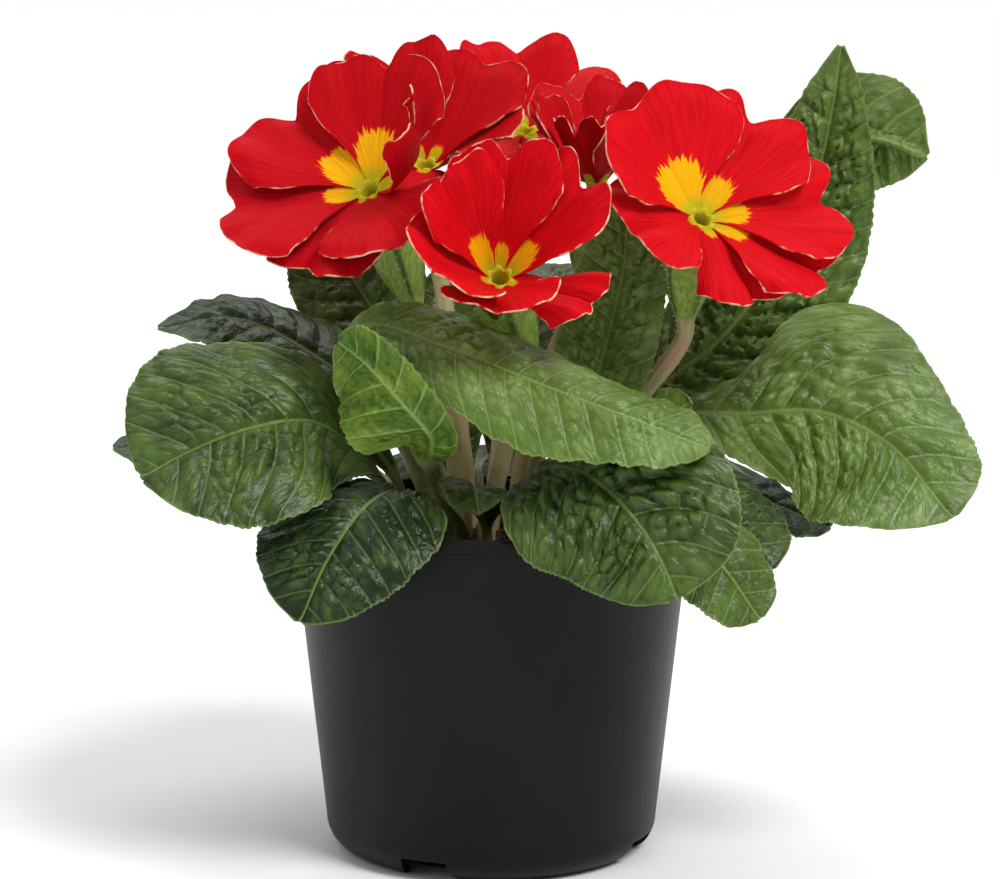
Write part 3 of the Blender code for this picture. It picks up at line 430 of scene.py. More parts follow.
def smooth_route(points, count):
    """Curve through the points, spaced by their distances, resampled to even steps, with unit tangents."""
    p = [np.array(q, float) for q in points]
    p = [2 * p[0] - p[1]] + p + [2 * p[-1] - p[-2]]
    fine = []
    for quad in zip(p, p[1:], p[2:], p[3:]):
        gaps = [math.sqrt(np.linalg.norm(n - m)) for m, n in zip(quad, quad[1:])]
        knots = np.concatenate([[0], np.cumsum(gaps)])
        for t in np.linspace(knots[1], knots[2], ROUTE_STEPS, endpoint=False):
            row = list(quad)
            for level in (1, 2, 3):
                for k in range(len(row) - 1):
                    low, high = (k, k + level) if level < 3 else (1, 2)
                    share = (t - knots[low]) / (knots[high] - knots[low])
                    row[k] = row[k] * (1 - share) + row[k + 1] * share
                row.pop()
            fine.append(row[0])
    fine.append(p[-2])
    fine = np.array(fine)
    reach = np.concatenate([[0], np.cumsum(np.linalg.norm(np.diff(fine, axis=0), axis=1))])
    even = np.linspace(0, reach[-1], count)
    line = np.stack([np.interp(even, reach, fine[:, k]) for k in range(3)], axis=1)
    tangent = np.gradient(line, axis=0)
    tangent /= np.linalg.norm(tangent, axis=1)[:, None]
    return line, tangent, reach[-1]


def eased(values):
    """Values along a route with their corners rounded off."""
    pad = SMOOTH_SPAN // 2
    kernel = np.ones(SMOOTH_SPAN) / SMOOTH_SPAN
    table = values[:, None] if values.ndim == 1 else values
    table = np.pad(table, ((pad, pad), (0, 0)), mode="edge")
    table = np.stack([np.convolve(table[:, k], kernel, mode="valid") for k in range(table.shape[1])], axis=1)
    return table[:, 0] if values.ndim == 1 else table


def stops_along(stops):
    """One value, or values given at places along a leaf, blended over its whole line."""
    along = np.linspace(0, 1, LINE_POINTS)
    places, values = zip(*(stops if isinstance(stops, list) else [(0, stops), (1, stops)]))
    values = np.array(values, float)
    if values.ndim == 1:
        return eased(np.interp(along, places, values))
    return eased(np.stack([np.interp(along, places, values[:, k]) for k in range(values.shape[1])], axis=-1))


def blade_width(t, widest, point):
    """Half-width along the blade, from 0 at its stalk to 1: a slow swell, then a round or pointed end."""
    t = np.clip(t, 0, 1)
    swell = np.sin(math.pi / 2 * np.minimum(t / widest, 1)) ** 1.35
    past = np.clip((t - widest) / (1 - widest), 0, 1)
    end = (1 - point) * np.sqrt(1 - past ** 2) + point * (1 - past ** POINT_POWER)
    return np.where(t < widest, swell, end)


def smoothstep(low, high, value):
    """0 below low, 1 above high and smooth in between, or the other way round."""
    t = np.clip((value - low) / (high - low), 0, 1)
    return t * t * (3 - 2 * t)


def grid_piece(name, across, along):
    """A flat grid to be shaped: gives the object and each vertex's place across and along, 0 to 1."""
    select_none()
    bpy.ops.mesh.primitive_grid_add(x_subdivisions=across, y_subdivisions=along, size=2)
    obj = bpy.context.active_object
    obj.name = name
    flat = vertex_places(obj) * MM
    return obj, (flat[:, 0] + 1) / 2, (flat[:, 1] + 1) / 2


def store(obj, **kept):
    """Keep numbers with the mesh for the materials to read: each one per vertex, or the same for all."""
    for name, values in kept.items():
        layer = obj.data.attributes.new(name, "FLOAT", "POINT")
        layer.data.foreach_set("value", np.full(len(obj.data.vertices), values, np.float32))


def thickened(obj, weights, thickness, side_offset, rim_offset):
    """Give a sheet its thickness below its face, scaled per vertex; its back and rim wear other finishes."""
    group = obj.vertex_groups.new(name="thickness")
    for index, weight in enumerate(weights):
        group.add([index], float(weight), "REPLACE")
    solid = obj.modifiers.new("Thickness", "SOLIDIFY")
    solid.thickness = thickness * MM
    solid.offset = -1
    solid.vertex_group = "thickness"
    solid.material_offset = side_offset
    solid.material_offset_rim = rim_offset
    only(obj)
    bpy.ops.object.modifier_apply(modifier="Thickness")
    obj.vertex_groups.clear()


def quilt_cells(a, b):
    """How far inside its cell of the vein net a point lies: 0 on a vein, larger towards the middle."""
    near = []
    for step_a in (-1, 0, 1):
        for step_b in (-1, 0, 1):
            cell_a, cell_b = np.floor(a) + step_a, np.floor(b) + step_b
            shift_a = np.sin(cell_a * 12.99 + cell_b * 78.23) * 43758.55 % 1 - 0.5
            shift_b = np.sin(cell_a * 39.35 + cell_b * 11.14) * 24634.63 % 1 - 0.5
            middle_a = cell_a + 0.5 + CELL_JITTER * shift_a
            middle_b = cell_b + 0.5 + CELL_JITTER * shift_b
            near.append(np.hypot(middle_a - a, middle_b - b))
    near = np.sort(np.stack(near), axis=0)
    return near[1] - near[0]


def leaf_line(hole, route, faces):
    """The midrib: its points, the way its face looks, the way to its side, and its length."""
    line, tangent, length = smooth_route(stalk_foot(hole) + route, LINE_POINTS)
    a = math.radians(hole[1])
    inward = (-math.cos(a), -math.sin(a), 0.0)
    face = stops_along([(0.0, inward), (0.12, inward)] + faces)
    normal = face - tangent * np.sum(face * tangent, axis=1)[:, None]
    normal /= np.linalg.norm(normal, axis=1)[:, None]
    return line, normal, np.cross(tangent, normal), length


def quilting(v, u, t, ahead, half, live, crumple):
    """Relief of the blade without its midrib, how arched it is, and what the leaf's skin reads of it."""
    right = v > 0
    pitch = 3.2 + 0.20 * half
    ladder = 3.0 + 0.07 * half
    sway = 0.5 * np.sin(0.13 * ahead + half) + 0.45 * np.sin(0.21 * u + 2.2 * right + 0.1 * ahead)
    lateral = (ahead - 0.45 * u - 0.011 * u ** 2 + 0.42 * pitch * right + sway) / pitch
    rung = u / ladder + 0.3 * np.sin(0.37 * ahead + half)
    arch = np.abs(np.sin(math.pi * lateral)) ** 0.8
    pillow = 1 - np.exp(-(quilt_cells(rung + 7 * right, 2 * lateral) / 0.30) ** 2)
    pucker = 1 - np.exp(-(quilt_cells(2 * rung + 3, 4 * lateral) / 0.4) ** 2)
    fade = live * (1 - 0.7 * smoothstep(0.5, 0.95, np.abs(v))) * (1 - 0.8 * smoothstep(0.78, 1.0, t))
    fade = fade * smoothstep(0.3, 2.6, u)
    patch = 0.5 + 0.5 * np.sin(0.10 * ahead + 1.1 * np.sin(0.15 * u * np.sign(v) + half) + half)
    patch = 1 - (1 - patch ** 1.5) * min(1.0, 3 - 2 * min(crumple, 1.4))
    cells = CELL_DEPTH * (pillow - 0.5) * (0.35 + 0.65 * arch) + PUCKER_DEPTH * (pucker - 0.5)
    relief = ARCH_DEPTH * (arch - 0.5) * (0.55 + 0.45 * patch) + cells * (0.15 + 0.95 * patch)
    # puff is high on the tops of the quilting and low in its valleys; the skin paints highlight and shade by
    # it.
    puff = np.clip(0.45 * arch + 0.55 * pillow, 0, 1)
    kept = {"lateral": lateral, "rung": rung, "pitch": pitch, "puff": puff}
    return relief * leaf_scale(half) * fade * crumple, arch, kept


def leaf_scale(half):
    """Veins and quilting are finer on a small leaf."""
    return min(1.1, 0.45 + half / 34)


def leaf(name, hole, half, route, faces, cup, curl, start, tone, grid, wave=1.0, widest=WIDEST_AT,
         far_cup=None, far_curl=None, stalk=1.0, bulges=(), point=0.0, crumple=1.0, under=False):
    """One leaf: a midrib route from the soil to the tip, and a quilted blade bent about it."""
    line, normal, side, length = leaf_line(hole, route, faces)
    obj, x, y = grid_piece("leaf_%s_fine" % name, *grid)
    v = 2 * x - 1
    right = v > 0
    k = (y - STALK_SHARE) / (1 - STALK_SHARE)
    blade = start + (1 - start) * (1 - np.clip(1 - k, 0, 1) ** 1.25) * TIP_CUT
    s = np.where(y < STALK_SHARE, start * y / STALK_SHARE, blade)
    inside = np.clip((s - start) / (1 - start), 0, 1)
    s = s + (1 - start) * VEIN_SLANT * np.abs(v) * 4 * inside * (1 - inside)
    t = (s - start) / (1 - start)

    body = blade_width(t, widest, point)
    live = smoothstep(0.05, 0.35, body)
    narrow = STALK_HALF * stalk * (1 - 0.85 * smoothstep(0.90, 1.0, t))
    width = narrow + (half - narrow) * body
    for at, sign, extra, spread in bulges:
        width = width + extra * np.exp(-((t - at) / spread) ** 2) * smoothstep(0, 0.35, v * sign) * body
    rim = smoothstep(0.80, 1.0, np.abs(v))
    margin = np.where(right, length * s, length * s + 1.3) + width * (1 - body) * 1.6
    tooth = np.abs(np.sin(math.pi * margin / TOOTH_PITCH)) - 0.5
    u = np.abs(v) * width + TOOTH_DEPTH * min(1.0, half / 16) * tooth * rim * live

    along = np.linspace(0, 1, LINE_POINTS)

    def angle(near, far):
        """Radians at each vertex from the stops of its own side, less where the blade is narrow."""
        far = near if far is None else far
        near, far = (np.interp(s, along, stops_along(stops)) for stops in (near, far))
        return np.radians(np.where(right, near, far)) * body

    cups = angle(cup, far_cup)
    bend = angle(curl, far_curl) / half + 1e-6
    flat_x = (np.sin(cups) - np.sin(cups - bend * u)) / bend
    rise = (np.cos(cups - bend * u) - np.cos(cups)) / bend
    rise += wave * np.sin(2 * math.pi * EDGE_WAVES * t + 1.3 * np.sign(v)) * v ** 2 * body
    rise += FRILL * np.sin(2 * math.pi * margin / FRILL_PITCH + half) * np.abs(v) ** 5 * live
    rise += STALK_LIFT * stalk * (1 - body)
    relief, arch, kept = quilting(v, u, t, (s - start) * length, half, live, crumple)
    size = leaf_scale(half)
    midrib = np.exp(-(u / (0.7 + 0.8 * (1 - inside))) ** 2) * live
    relief = relief - MIDRIB_DEPTH * size * midrib
    channel = 0.55 * stalk * (np.abs(v) ** 2 - 0.5) * (1 - live)
    rise = rise + (-relief if under else relief) + channel
    line, normal, side = (np.stack([np.interp(s, along, table[:, c]) for c in range(3)], -1)
                          for table in (line, normal, side))
    set_places(obj, line + normal * rise[:, None] + side * (np.sign(v) * flat_x)[:, None])
    on_stalk = (1 - smoothstep(0.01, 0.18, body)) * (t < 0.5)
    store(obj, **kept, off_midrib=u / (0.38 + 0.6 * (1 - inside)), off_edge=(1 - np.abs(v)) * width,
          live=live * (1 - smoothstep(0.95, 1.0, t)), stalk=on_stalk, tone=tone)

    spine = np.clip(1 - np.abs(v), 0, 1) ** 0.7 * (1 - 0.8 * np.clip(t, 0, 1)) ** 1.5
    thick = BLADE_T + (STALK_T * stalk - BLADE_T) * spine * (1 - live) + 0.9 * size * midrib
    thick += size * live * 0.25 * (1 - arch)
    thick = np.minimum(thick, STALK_T * stalk)
    thick = thick + (BLADE_EDGE_T - thick) * rim * 0.9
    thickened(obj, thick / STALK_T, STALK_T, 1, 0)
    smooth_by_angle(obj, 60)
    wear(obj, *((leaf_back, leaf_face) if under else (leaf_face, leaf_back)))
    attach(obj, "root")
    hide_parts("leaf_" + name)


# Leaf veins: thin lines along the laterals and a finer net between them, from places kept with the mesh
VEIN_PLACES = ("Lateral", "Rung", "Pitch", "Off midrib", "Live")
veins, inside, given, result = shared_group("Leaf veins", VEIN_PLACES, ("Vein", "Net", "Midrib"))
lateral = given["Lateral"]
off_row = inside.math("ABSOLUTE", inside.math("SUBTRACT", lateral, inside.math("ROUND", lateral)))
line_row = inside.step(inside.math("MULTIPLY", off_row, given["Pitch"]), 0.46, 0.12)
inside.put(inside.math("MULTIPLY", line_row, given["Live"]), result["Vein"])
net_place = {"X": inside.math("MULTIPLY", given["Rung"], 2.6), "Y": inside.math("MULTIPLY", lateral, 4.0)}
net_inputs = {"Vector": inside.added("ShaderNodeCombineXYZ", net_place, 0), "Scale": 1.0, "Randomness": 0.85}
fine_net = inside.added("ShaderNodeTexVoronoi", net_inputs, "Distance", feature="DISTANCE_TO_EDGE")
inside.put(inside.step(fine_net, 0.0, 0.35), result["Net"])
inside.put(inside.step(given["Off midrib"], 0.95, 0.40), result["Midrib"])
STALK_GREEN = (0.26, 0.28, 0.11)


def leaf_finish(name, greens, vein, rib, margin, roughness, vein_share, fold):
    """Leaf skin: blotched green, painted shade in the sunk net and the quilting's valleys, a painted
    highlight on its tops; paler along laterals, midrib, edge and stalk.
    """
    skin = new_finish(name, roughness)
    places = {socket: skin.read(socket.lower().replace(" ", "_")) for socket in VEIN_PLACES}
    lines = skin.added("ShaderNodeGroup", places, "Vein", node_tree=veins).node.outputs
    tone = skin.read("tone")
    # tone moves each leaf's green from dark to pale: partly the leaf's own green, partly painted light and
    # shade.
    share = skin.math("MULTIPLY_ADD", skin.step(skin.mottled(11.0, 4.0), 0.28, 0.74), 0.30,
                      skin.math("SUBTRACT", tone, 0.33))
    # Paler on the tops of the quilting and darker in its valleys: painted highlight and painted shade.
    share = skin.math("MULTIPLY_ADD", skin.read("puff"), 0.26, share)
    # Darker along the fine net: painted shade in its sunk lines.
    share = skin.math("MULTIPLY_ADD", lines["Net"], 0.10, share)
    green = skin.mix(skin.math("ADD", share, -0.12, clamp=True), greens[0], greens[1])
    # Where the green is palest it turns to the third colour: on the upper face a grey sage, partly the leaf's
    # own bloom and partly painted sheen; on the underside a bright green, painted light shining through the
    # leaf.
    green = skin.mix(skin.math("MULTIPLY", skin.step(share, 0.72, 1.35), 0.85), green, greens[2])
    vein_depth = skin.math("MULTIPLY_ADD", tone, vein_share, vein_share / 2)
    green = skin.mix(skin.math("MULTIPLY", lines["Vein"], vein_depth), green, vein)
    green = skin.mix(skin.math("MULTIPLY", lines["Midrib"], 0.45), green, rib)
    green = skin.mix(skin.math("MULTIPLY", skin.step(skin.read("off_edge"), 0.8, 0.2), 0.38), green, margin)
    skin.give("Base Color", skin.mix(skin.read("stalk"), green, STALK_GREEN))
    grain = skin.mottled(1.1, 4.0)
    skin.bump(skin.math("MULTIPLY_ADD", lines["Net"], fold, skin.math("MULTIPLY", grain, 1.2)), 0.00009)
    skin.give("Roughness", skin.math("MULTIPLY_ADD", grain, 0.22, roughness - 0.11))
    skin.give("Specular IOR Level", 0.30)
    return skin


# Upper face greens: dark, mid, and a grey sage that is partly painted sheen.
leaf_face = leaf_finish("Leaf upper face",
                        ((0.006, 0.020, 0.0015), (0.150, 0.250, 0.036), (0.33, 0.40, 0.21)),
                        (0.27, 0.39, 0.11), (0.27, 0.38, 0.10), (0.20, 0.30, 0.07), 0.37, 0.30, 1.0)
# Underside greens: dark, mid, and a bright green that is painted light shining through the leaf.
leaf_back = leaf_finish("Leaf underside",
                        ((0.035, 0.090, 0.006), (0.35, 0.50, 0.030), (0.47, 0.63, 0.030)),
                        (0.38, 0.52, 0.12), (0.32, 0.42, 0.15), (0.22, 0.33, 0.08), 0.50, 0.42, -1.0)

FINE = (80, 150)
MIDDLE = (48, 96)
COARSE = (34, 66)
SMALL = (30, 56)
# Each leaf's tone is partly its own green and partly painted light and shade: darker for leaves in shade,
# paler for lit ones.
leaf("left", (23, 199), 27,
     [(-30, -18, 101), (-43, -31, 114), (-58, -42, 114), (-72, -47, 109), (-83, -50, 103)],
     [(0.3, (0, -0.4, 1)), (0.6, (0.05, -1, 0.8)), (1, (-0.4, -1, 0.6))],
     cup=12, curl=30, start=0.25, widest=0.66, bulges=[(0.8, 1, 5, 0.2)], tone=0.36, crumple=1.15, grid=FINE)
leaf("back_left", (15, 168), 20,
     [(-27, 5, 110), (-47, 11, 127), (-67, 15, 135.5), (-86, 14, 132)],
     [(0.35, (0, -0.2, 1)), (0.7, (-0.1, -0.42, 1)), (1, (-0.3, -0.3, 1))],
     cup=8, curl=45, start=0.3, point=0.5, tone=0.24, crumple=0.9, grid=MIDDLE)
leaf("left_upright", (15, 138), 19,
     [(-16, 26, 108), (-27, 39, 128), (-39, 46, 146), (-46, 50, 160)],
     [(0.4, (0.4, -1, 0.5)), (1, (0.3, -1, 0.4))],
     cup=15, curl=30, start=0.35, tone=0.40, crumple=1.3, grid=MIDDLE)
leaf("front_left", (23, 232), 20,
     [(-22, -33, 97), (-30, -47, 96), (-39, -56, 84), (-45, -59, 70)],
     [(0.3, (0, -0.3, 1)), (0.6, (-0.25, -1, 0.6)), (1, (-0.4, -1, 0.15))],
     cup=[(0, -18), (1, 4)], curl=28, start=0.27, far_cup=[(0, 14), (1, 8)],
     bulges=[(0.3, -1, 6, 0.25), (0.65, 1, 4, 0.3)], point=0.35, tone=0.12, crumple=1.15, grid=FINE)
leaf("front_pale", (15, 205), 18,
     [(-20, -9, 102), (-28, -15, 117), (-35, -26, 131), (-29, -36, 138), (-9, -44, 133),
     (14, -52, 125), (34, -57, 118), (51, -59, 111)],
     [(0.3, (-0.3, -0.7, 0.4)), (0.5, (0, -0.8, 0.8)), (0.7, (0, -0.7, 1)), (1, (0.3, -0.6, 1))],
     cup=[(0, 0), (0.4, -10), (1, 5)], curl=45, start=0.4, far_cup=[(0, 10), (1, 10)],
     far_curl=[(0, 60), (1, 60)], tone=0.76, grid=FINE)
leaf("front_folded", (15, 240), 17,
     [(-14, -21, 97), (-15, -31, 104), (-14, -42, 109), (-14.5, -51, 113.5), (-21, -54.5, 121.5),
     (-29, -51, 130), (-36, -44, 135)],
     [(0.2, (0.9, 0.2, 0.3)), (0.32, (0.7, -0.7, 0.2)), (0.5, (-0.1, -1, 0)), (1, (-0.4, -1, -0.2))],
     cup=6, curl=16, start=0.42, wave=0.6, bulges=[(0.5, 1, -9.5, 0.8)], tone=0.26, crumple=1.2,
     under=True, grid=FINE)
leaf("front_right", (23, 288), 28,
     [(12, -34, 102), (21, -50, 104.5), (31, -62, 98), (38, -68, 89), (43, -71, 78)],
     [(0.3, (0, -0.4, 1)), (0.6, (-0.3, -1, 0.6)), (1, (-0.1, -1, 0.1))],
     cup=10, curl=32, start=0.22, widest=0.58, far_cup=[(0, -14), (1, 4)],
     far_curl=[(0, 20), (1, 30)], bulges=[(0.75, 1, -5, 0.25)], tone=0.40, crumple=1.5, grid=FINE)
leaf("right_low", (23, 331), 18,
     [(33, -17, 94), (44, -23, 97), (57, -31, 90), (68, -36, 78)],
     [(0.3, (0.1, -0.3, 1)), (1, (0.5, -1, 0.6))],
     cup=6, curl=35, start=0.36, tone=0.26, grid=MIDDLE)
leaf("right_hanging", (23, 309), 13,
     [(26, -31, 90.5), (41, -45, 90), (54, -50, 83), (64, -50, 69)],
     [(0.3, (0.1, -0.3, 1)), (1, (0.6, -1, 0.2))],
     cup=10, curl=30, start=0.5, tone=0.50, grid=MIDDLE)
leaf("right", (15, 355), 28,
     [(28, 0, 104), (48, -3, 112), (65, -6, 113), (83, -11, 114), (99, -19, 107),
     (113, -30, 90)],
     [(0.4, (0, -0.6, 1)), (0.6, (-0.1, -1, 0.8)), (1, (0.2, -1, 0.6))],
     cup=8, curl=24, start=0.36, widest=0.66, point=0.25,
     bulges=[(0.46, -1, 14, 0.14), (0.14, -1, -12, 0.20), (0.80, -1, -7, 0.18), (0.84, 1, 5, 0.14)],
     tone=0.74, crumple=1.2, grid=FINE)
leaf("right_tall", (15, 26), 20,
     [(26, 14, 102), (43, 20, 116), (60, 22, 129), (74, 24, 147), (84, 26, 167), (89, 27, 188),
     (91, 26, 205)],
     [(0.3, (-0.6, -0.6, 0.7)), (0.6, (-0.4, -1, 0.3)), (1, (-0.3, -1, 0.1))],
     cup=10, curl=30, start=0.22, widest=0.4, far_cup=[(0, 10), (0.6, 20), (1, 60)], point=0.8,
     bulges=[(0.6, 1, 3.5, 0.25)], tone=0.64, crumple=1.8, grid=FINE)
leaf("right_far", (15, 58), 18,
     [(12, 22, 98), (27, 34, 120), (50, 43, 145), (76, 46, 166), (98, 44, 181), (116, 40, 176)],
     [(0.5, (-0.3, 0.3, 1)), (0.7, (-0.3, 1, 0.4)), (1, (-0.2, 1, 0.2))],
     cup=10, curl=20, start=0.7, point=0.6, tone=0.80, crumple=1.2, grid=MIDDLE)
leaf("young_right", (15, 325), 13,
     [(20, -10, 104), (26, -8, 120), (31, -3, 138), (34, 2, 153), (34, 5, 168)],
     [(0.3, (-0.1, -1, 0.3)), (1, (0.1, -1, 0.3))],
     cup=26, curl=30, start=0.22, widest=0.5, tone=0.76, crumple=1.7, grid=MIDDLE)
leaf("middle", (15, 112), 12,
     [(-8, 18, 102), (-10, 23, 118), (-10, 28, 134), (-9, 33, 147)],
     [(0.3, (0.1, -1, 0.3)), (1, (-0.1, -1, 0.3))],
     cup=18, curl=25, start=0.28, tone=0.35, grid=COARSE)
leaf("right_under", (23, 8), 13,
     [(34, 4, 90), (50, 5, 93), (68, 5, 90), (87, 2, 82)],
     [(0.4, (0, -0.2, 1)), (1, (0.1, -0.4, 1))],
     cup=8, curl=30, start=0.45, tone=0.15, grid=COARSE)
leaf("left_under", (23, 174), 15,
     [(-35, 4, 92), (-54, 7, 99), (-76, 7, 104), (-97, 5, 102)],
     [(0.4, (0, -0.1, 1)), (1, (-0.2, -0.3, 1))],
     cup=8, curl=35, start=0.4, tone=0.15, grid=COARSE)
leaf("back_right_low", (23, 46), 19,
     [(30, 28, 92), (48, 41, 96), (64, 53, 90), (76, 62, 76)],
     [(0.4, (0.1, 0.1, 1)), (1, (0.5, 0.6, 0.5))],
     cup=6, curl=35, start=0.34, tone=0.30, grid=COARSE)
leaf("back_low", (23, 72), 20,
     [(13, 34, 97), (21, 52, 106), (28, 70, 103), (33, 84, 91)],
     [(0.4, (0, 0.2, 1)), (1, (0.2, 1, 0.5))],
     cup=10, curl=35, start=0.3, tone=0.38, grid=COARSE)
leaf("back", (23, 98), 20,
     [(-5, 34, 93), (-8, 54, 96), (-11, 72, 88), (-12, 82, 73)],
     [(0.4, (0, 0.1, 1)), (1, (0, 1, 0.4))],
     cup=6, curl=35, start=0.3, tone=0.25, grid=COARSE)
leaf("back_left_low", (23, 122), 20,
     [(-18, 32, 98), (-30, 50, 108), (-41, 66, 106), (-50, 80, 94)],
     [(0.4, (0, 0.2, 1)), (1, (-0.3, 0.9, 0.5))],
     cup=10, curl=35, start=0.3, tone=0.40, grid=COARSE)
leaf("back_left_wide", (23, 148), 20,
     [(-31, 21, 93), (-50, 34, 98), (-67, 45, 95), (-81, 55, 83)],
     [(0.4, (0, 0.1, 1)), (1, (-0.5, 0.4, 1))],
     cup=6, curl=36, start=0.34, tone=0.30, grid=COARSE)
leaf("back_high", (15, 86), 19,
     [(4, 28, 106), (10, 46, 128), (17, 66, 143), (24, 86, 143)],
     [(0.4, (-0.1, -0.3, 1)), (1, (0.1, 0.5, 1))],
     cup=12, curl=40, start=0.2, tone=0.30, grid=COARSE)
leaf("small_curled", (20, 345), 9,
     [(26, -11, 96), (35, -20, 106), (42, -25, 114), (49, -26, 118)],
     [(0.3, (-0.6, -0.2, 1)), (1, (0, -1, 0.6))],
     cup=30, curl=70, start=0.35, stalk=0.6, wave=1.8, tone=0.60, grid=SMALL)
leaf("small_front", (15, 266), 9.5,
     [(-2, -19, 90), (-3, -26, 96), (-4, -34, 98), (-3, -41, 93)],
     [(0.3, (0, -0.2, 1)), (1, (0.1, -1, 0.5))],
     cup=20, curl=40, start=0.3, stalk=0.6, wave=2.0, tone=0.35, grid=SMALL)
leaf("small_left", (20, 186), 5.5,
     [(-25, -4, 97), (-32, -7, 108), (-36, -10, 117), (-38, -12, 124)],
     [(0.3, (0.3, -1, 0.4)), (1, (-0.2, -1, 0.2))],
     cup=14, curl=30, start=0.45, stalk=0.6, wave=1.2, tone=0.25, grid=SMALL)
leaf("small_right", (22, 298), 7,
     [(17, -26, 96), (26, -33, 104), (34, -40, 107), (40, -46, 105)],
     [(0.3, (0, -0.3, 1)), (1, (0.1, -0.8, 0.8))],
     cup=14, curl=30, start=0.45, stalk=0.6, widest=0.45, tone=0.60, grid=SMALL)

# Flowers: each grows on its own hairy stem, which ends in a pale calyx with five ridges and five
# pointed teeth. The corolla is a thin tube in the calyx that opens into five or six velvety red
# petals, with a cream edge, a ragged yellow patch at the base and a green throat.
THROAT_R = 2.8
TUBE_R = 1.3
TUBE_BEND = 8.0
TUBE_FROM = 0.45
THROAT_SIDES = 60
THROAT_RINGS = 30
FOLD_DEPTH = 0.45
PETAL_T = 0.42
PETAL_STEP = 1.4
BASE_STEP = 0.3
BASE_OVERLAP = 4.0
PETAL_FULLNESS = 1.07
PETAL_WAVE = 1.8
RUFFLE = 0.35
PETAL_RIB = 0.07
CREASE = 1.0
LOBE_SWELL = 1.4
RIM_DROP = 1.4
STEM_R = 2.2
STEM_RINGS = 44
STEM_STRAIGHT = 4.0
CALYX_SIDES = 60
CALYX_RIDGES = 5
CALYX_TOOTH = 4.5
CALYX_FOOT = 2.2
CALYX_INNER = 2.6


class Petal:
    """One lobe of a corolla: its angle about the flower, its length, how it lifts from base to tip."""

    def __init__(self, at, length, lift, half, eye=1.0, notch=0.88):
        self.at = at
        self.length = length
        self.lift = lift
        self.half = half
        self.eye = eye
        self.notch = notch
        self.beside = [lift, lift]
        self.edges = [-1, 1]
        self.starts = [30, 30]

    def bent(self, lift, s, d):
        """Way out and way up after a length d of petal whose lift grows evenly from base to tip."""
        low, high = math.radians(lift[0]), math.radians(lift[1])
        swing = (high - low) * s
        swing = np.where(np.abs(swing) < 1e-4, 1e-4, swing)
        out, up = np.sin(low + swing) - math.sin(low), math.cos(low) - np.cos(low + swing)
        return d * out / swing, d * up / swing

    def points(self, s, v):
        """Distance from the axis, angle about it, height over the throat, reach, and way in from an edge."""
        lobe = 1 - (1 - self.notch) * np.exp(-(v / 0.17) ** 2) - 0.23 * np.abs(v) ** 3.8
        lobe = lobe + 0.013 * np.sin(8.7 * v + self.at) + 0.011 * np.abs(np.sin(9 * v + self.at))
        d = self.length * s * (1 - (1 - lobe) * s ** 1.5)
        right = v > 0
        out, up = self.bent(self.lift, s, d)
        left_out, left_up = self.bent(self.beside[0], s, d)
        right_out, right_up = self.bent(self.beside[1], s, d)
        shared = 0.5 * v ** 2 * smoothstep(0.42, 0.05, s)
        r = THROAT_R + out * (1 - shared) + np.where(right, right_out, left_out) * shared
        h = up * (1 - shared) + np.where(right, right_up, left_up) * shared
        start = np.where(right, self.starts[1], self.starts[0])
        half = np.zeros_like(s)
        lean = np.zeros_like(s)
        for offset in (-0.08, -0.04, 0.0, 0.04, 0.08):
            at = np.clip(s + offset, 0, 1)
            early = np.interp(at, [0, 0.10, 0.32], [1, 0.95, 0])
            full = np.interp(at, [0.0, 0.10, 0.32, 0.6, 1.0], [0, 0.05, 0.88, 1.0, 0.94])
            half += (early * (start + BASE_OVERLAP) + full * self.half * PETAL_FULLNESS) / 5
            lean += PETAL_STEP * np.interp(at, [0, 0.12, 0.3, 1.0], [0, 0.45, 1.0, 1.3]) / 5
        lean = lean * smoothstep(0.05, 0.42, s) + BASE_STEP * smoothstep(0.0, 0.05, s)
        over = np.where(right, self.edges[1], self.edges[0])
        h = h + lean * over * np.abs(v) ** 1.3
        h = h + PETAL_WAVE * s ** 1.3 * np.sin(5.0 * v + 0.035 * self.at) * np.abs(v)
        h = h + 0.6 * PETAL_WAVE * s ** 2.2 * np.sin(9.5 * v + self.at) * np.abs(v) ** 0.5
        h = h + RUFFLE * s ** 4 * np.sin(17 * v + 3 * self.at)
        h = h + PETAL_RIB * s ** 0.5 * np.sin(2 * math.pi * 6 * v)
        h = h - CREASE * np.exp(-(v / 0.15) ** 2) * smoothstep(0.25, 0.9, s)
        h = h + LOBE_SWELL * (np.sin(math.pi * np.abs(v)) - 0.5) * smoothstep(0.2, 0.75, s)
        h = h - RIM_DROP * smoothstep(0.72, 1.0, s) ** 2
        inset = np.minimum((1 - s) * self.length * lobe, (1 - np.abs(v)) * r * np.radians(half))
        return r, np.radians(self.at + v * half), h, d, inset


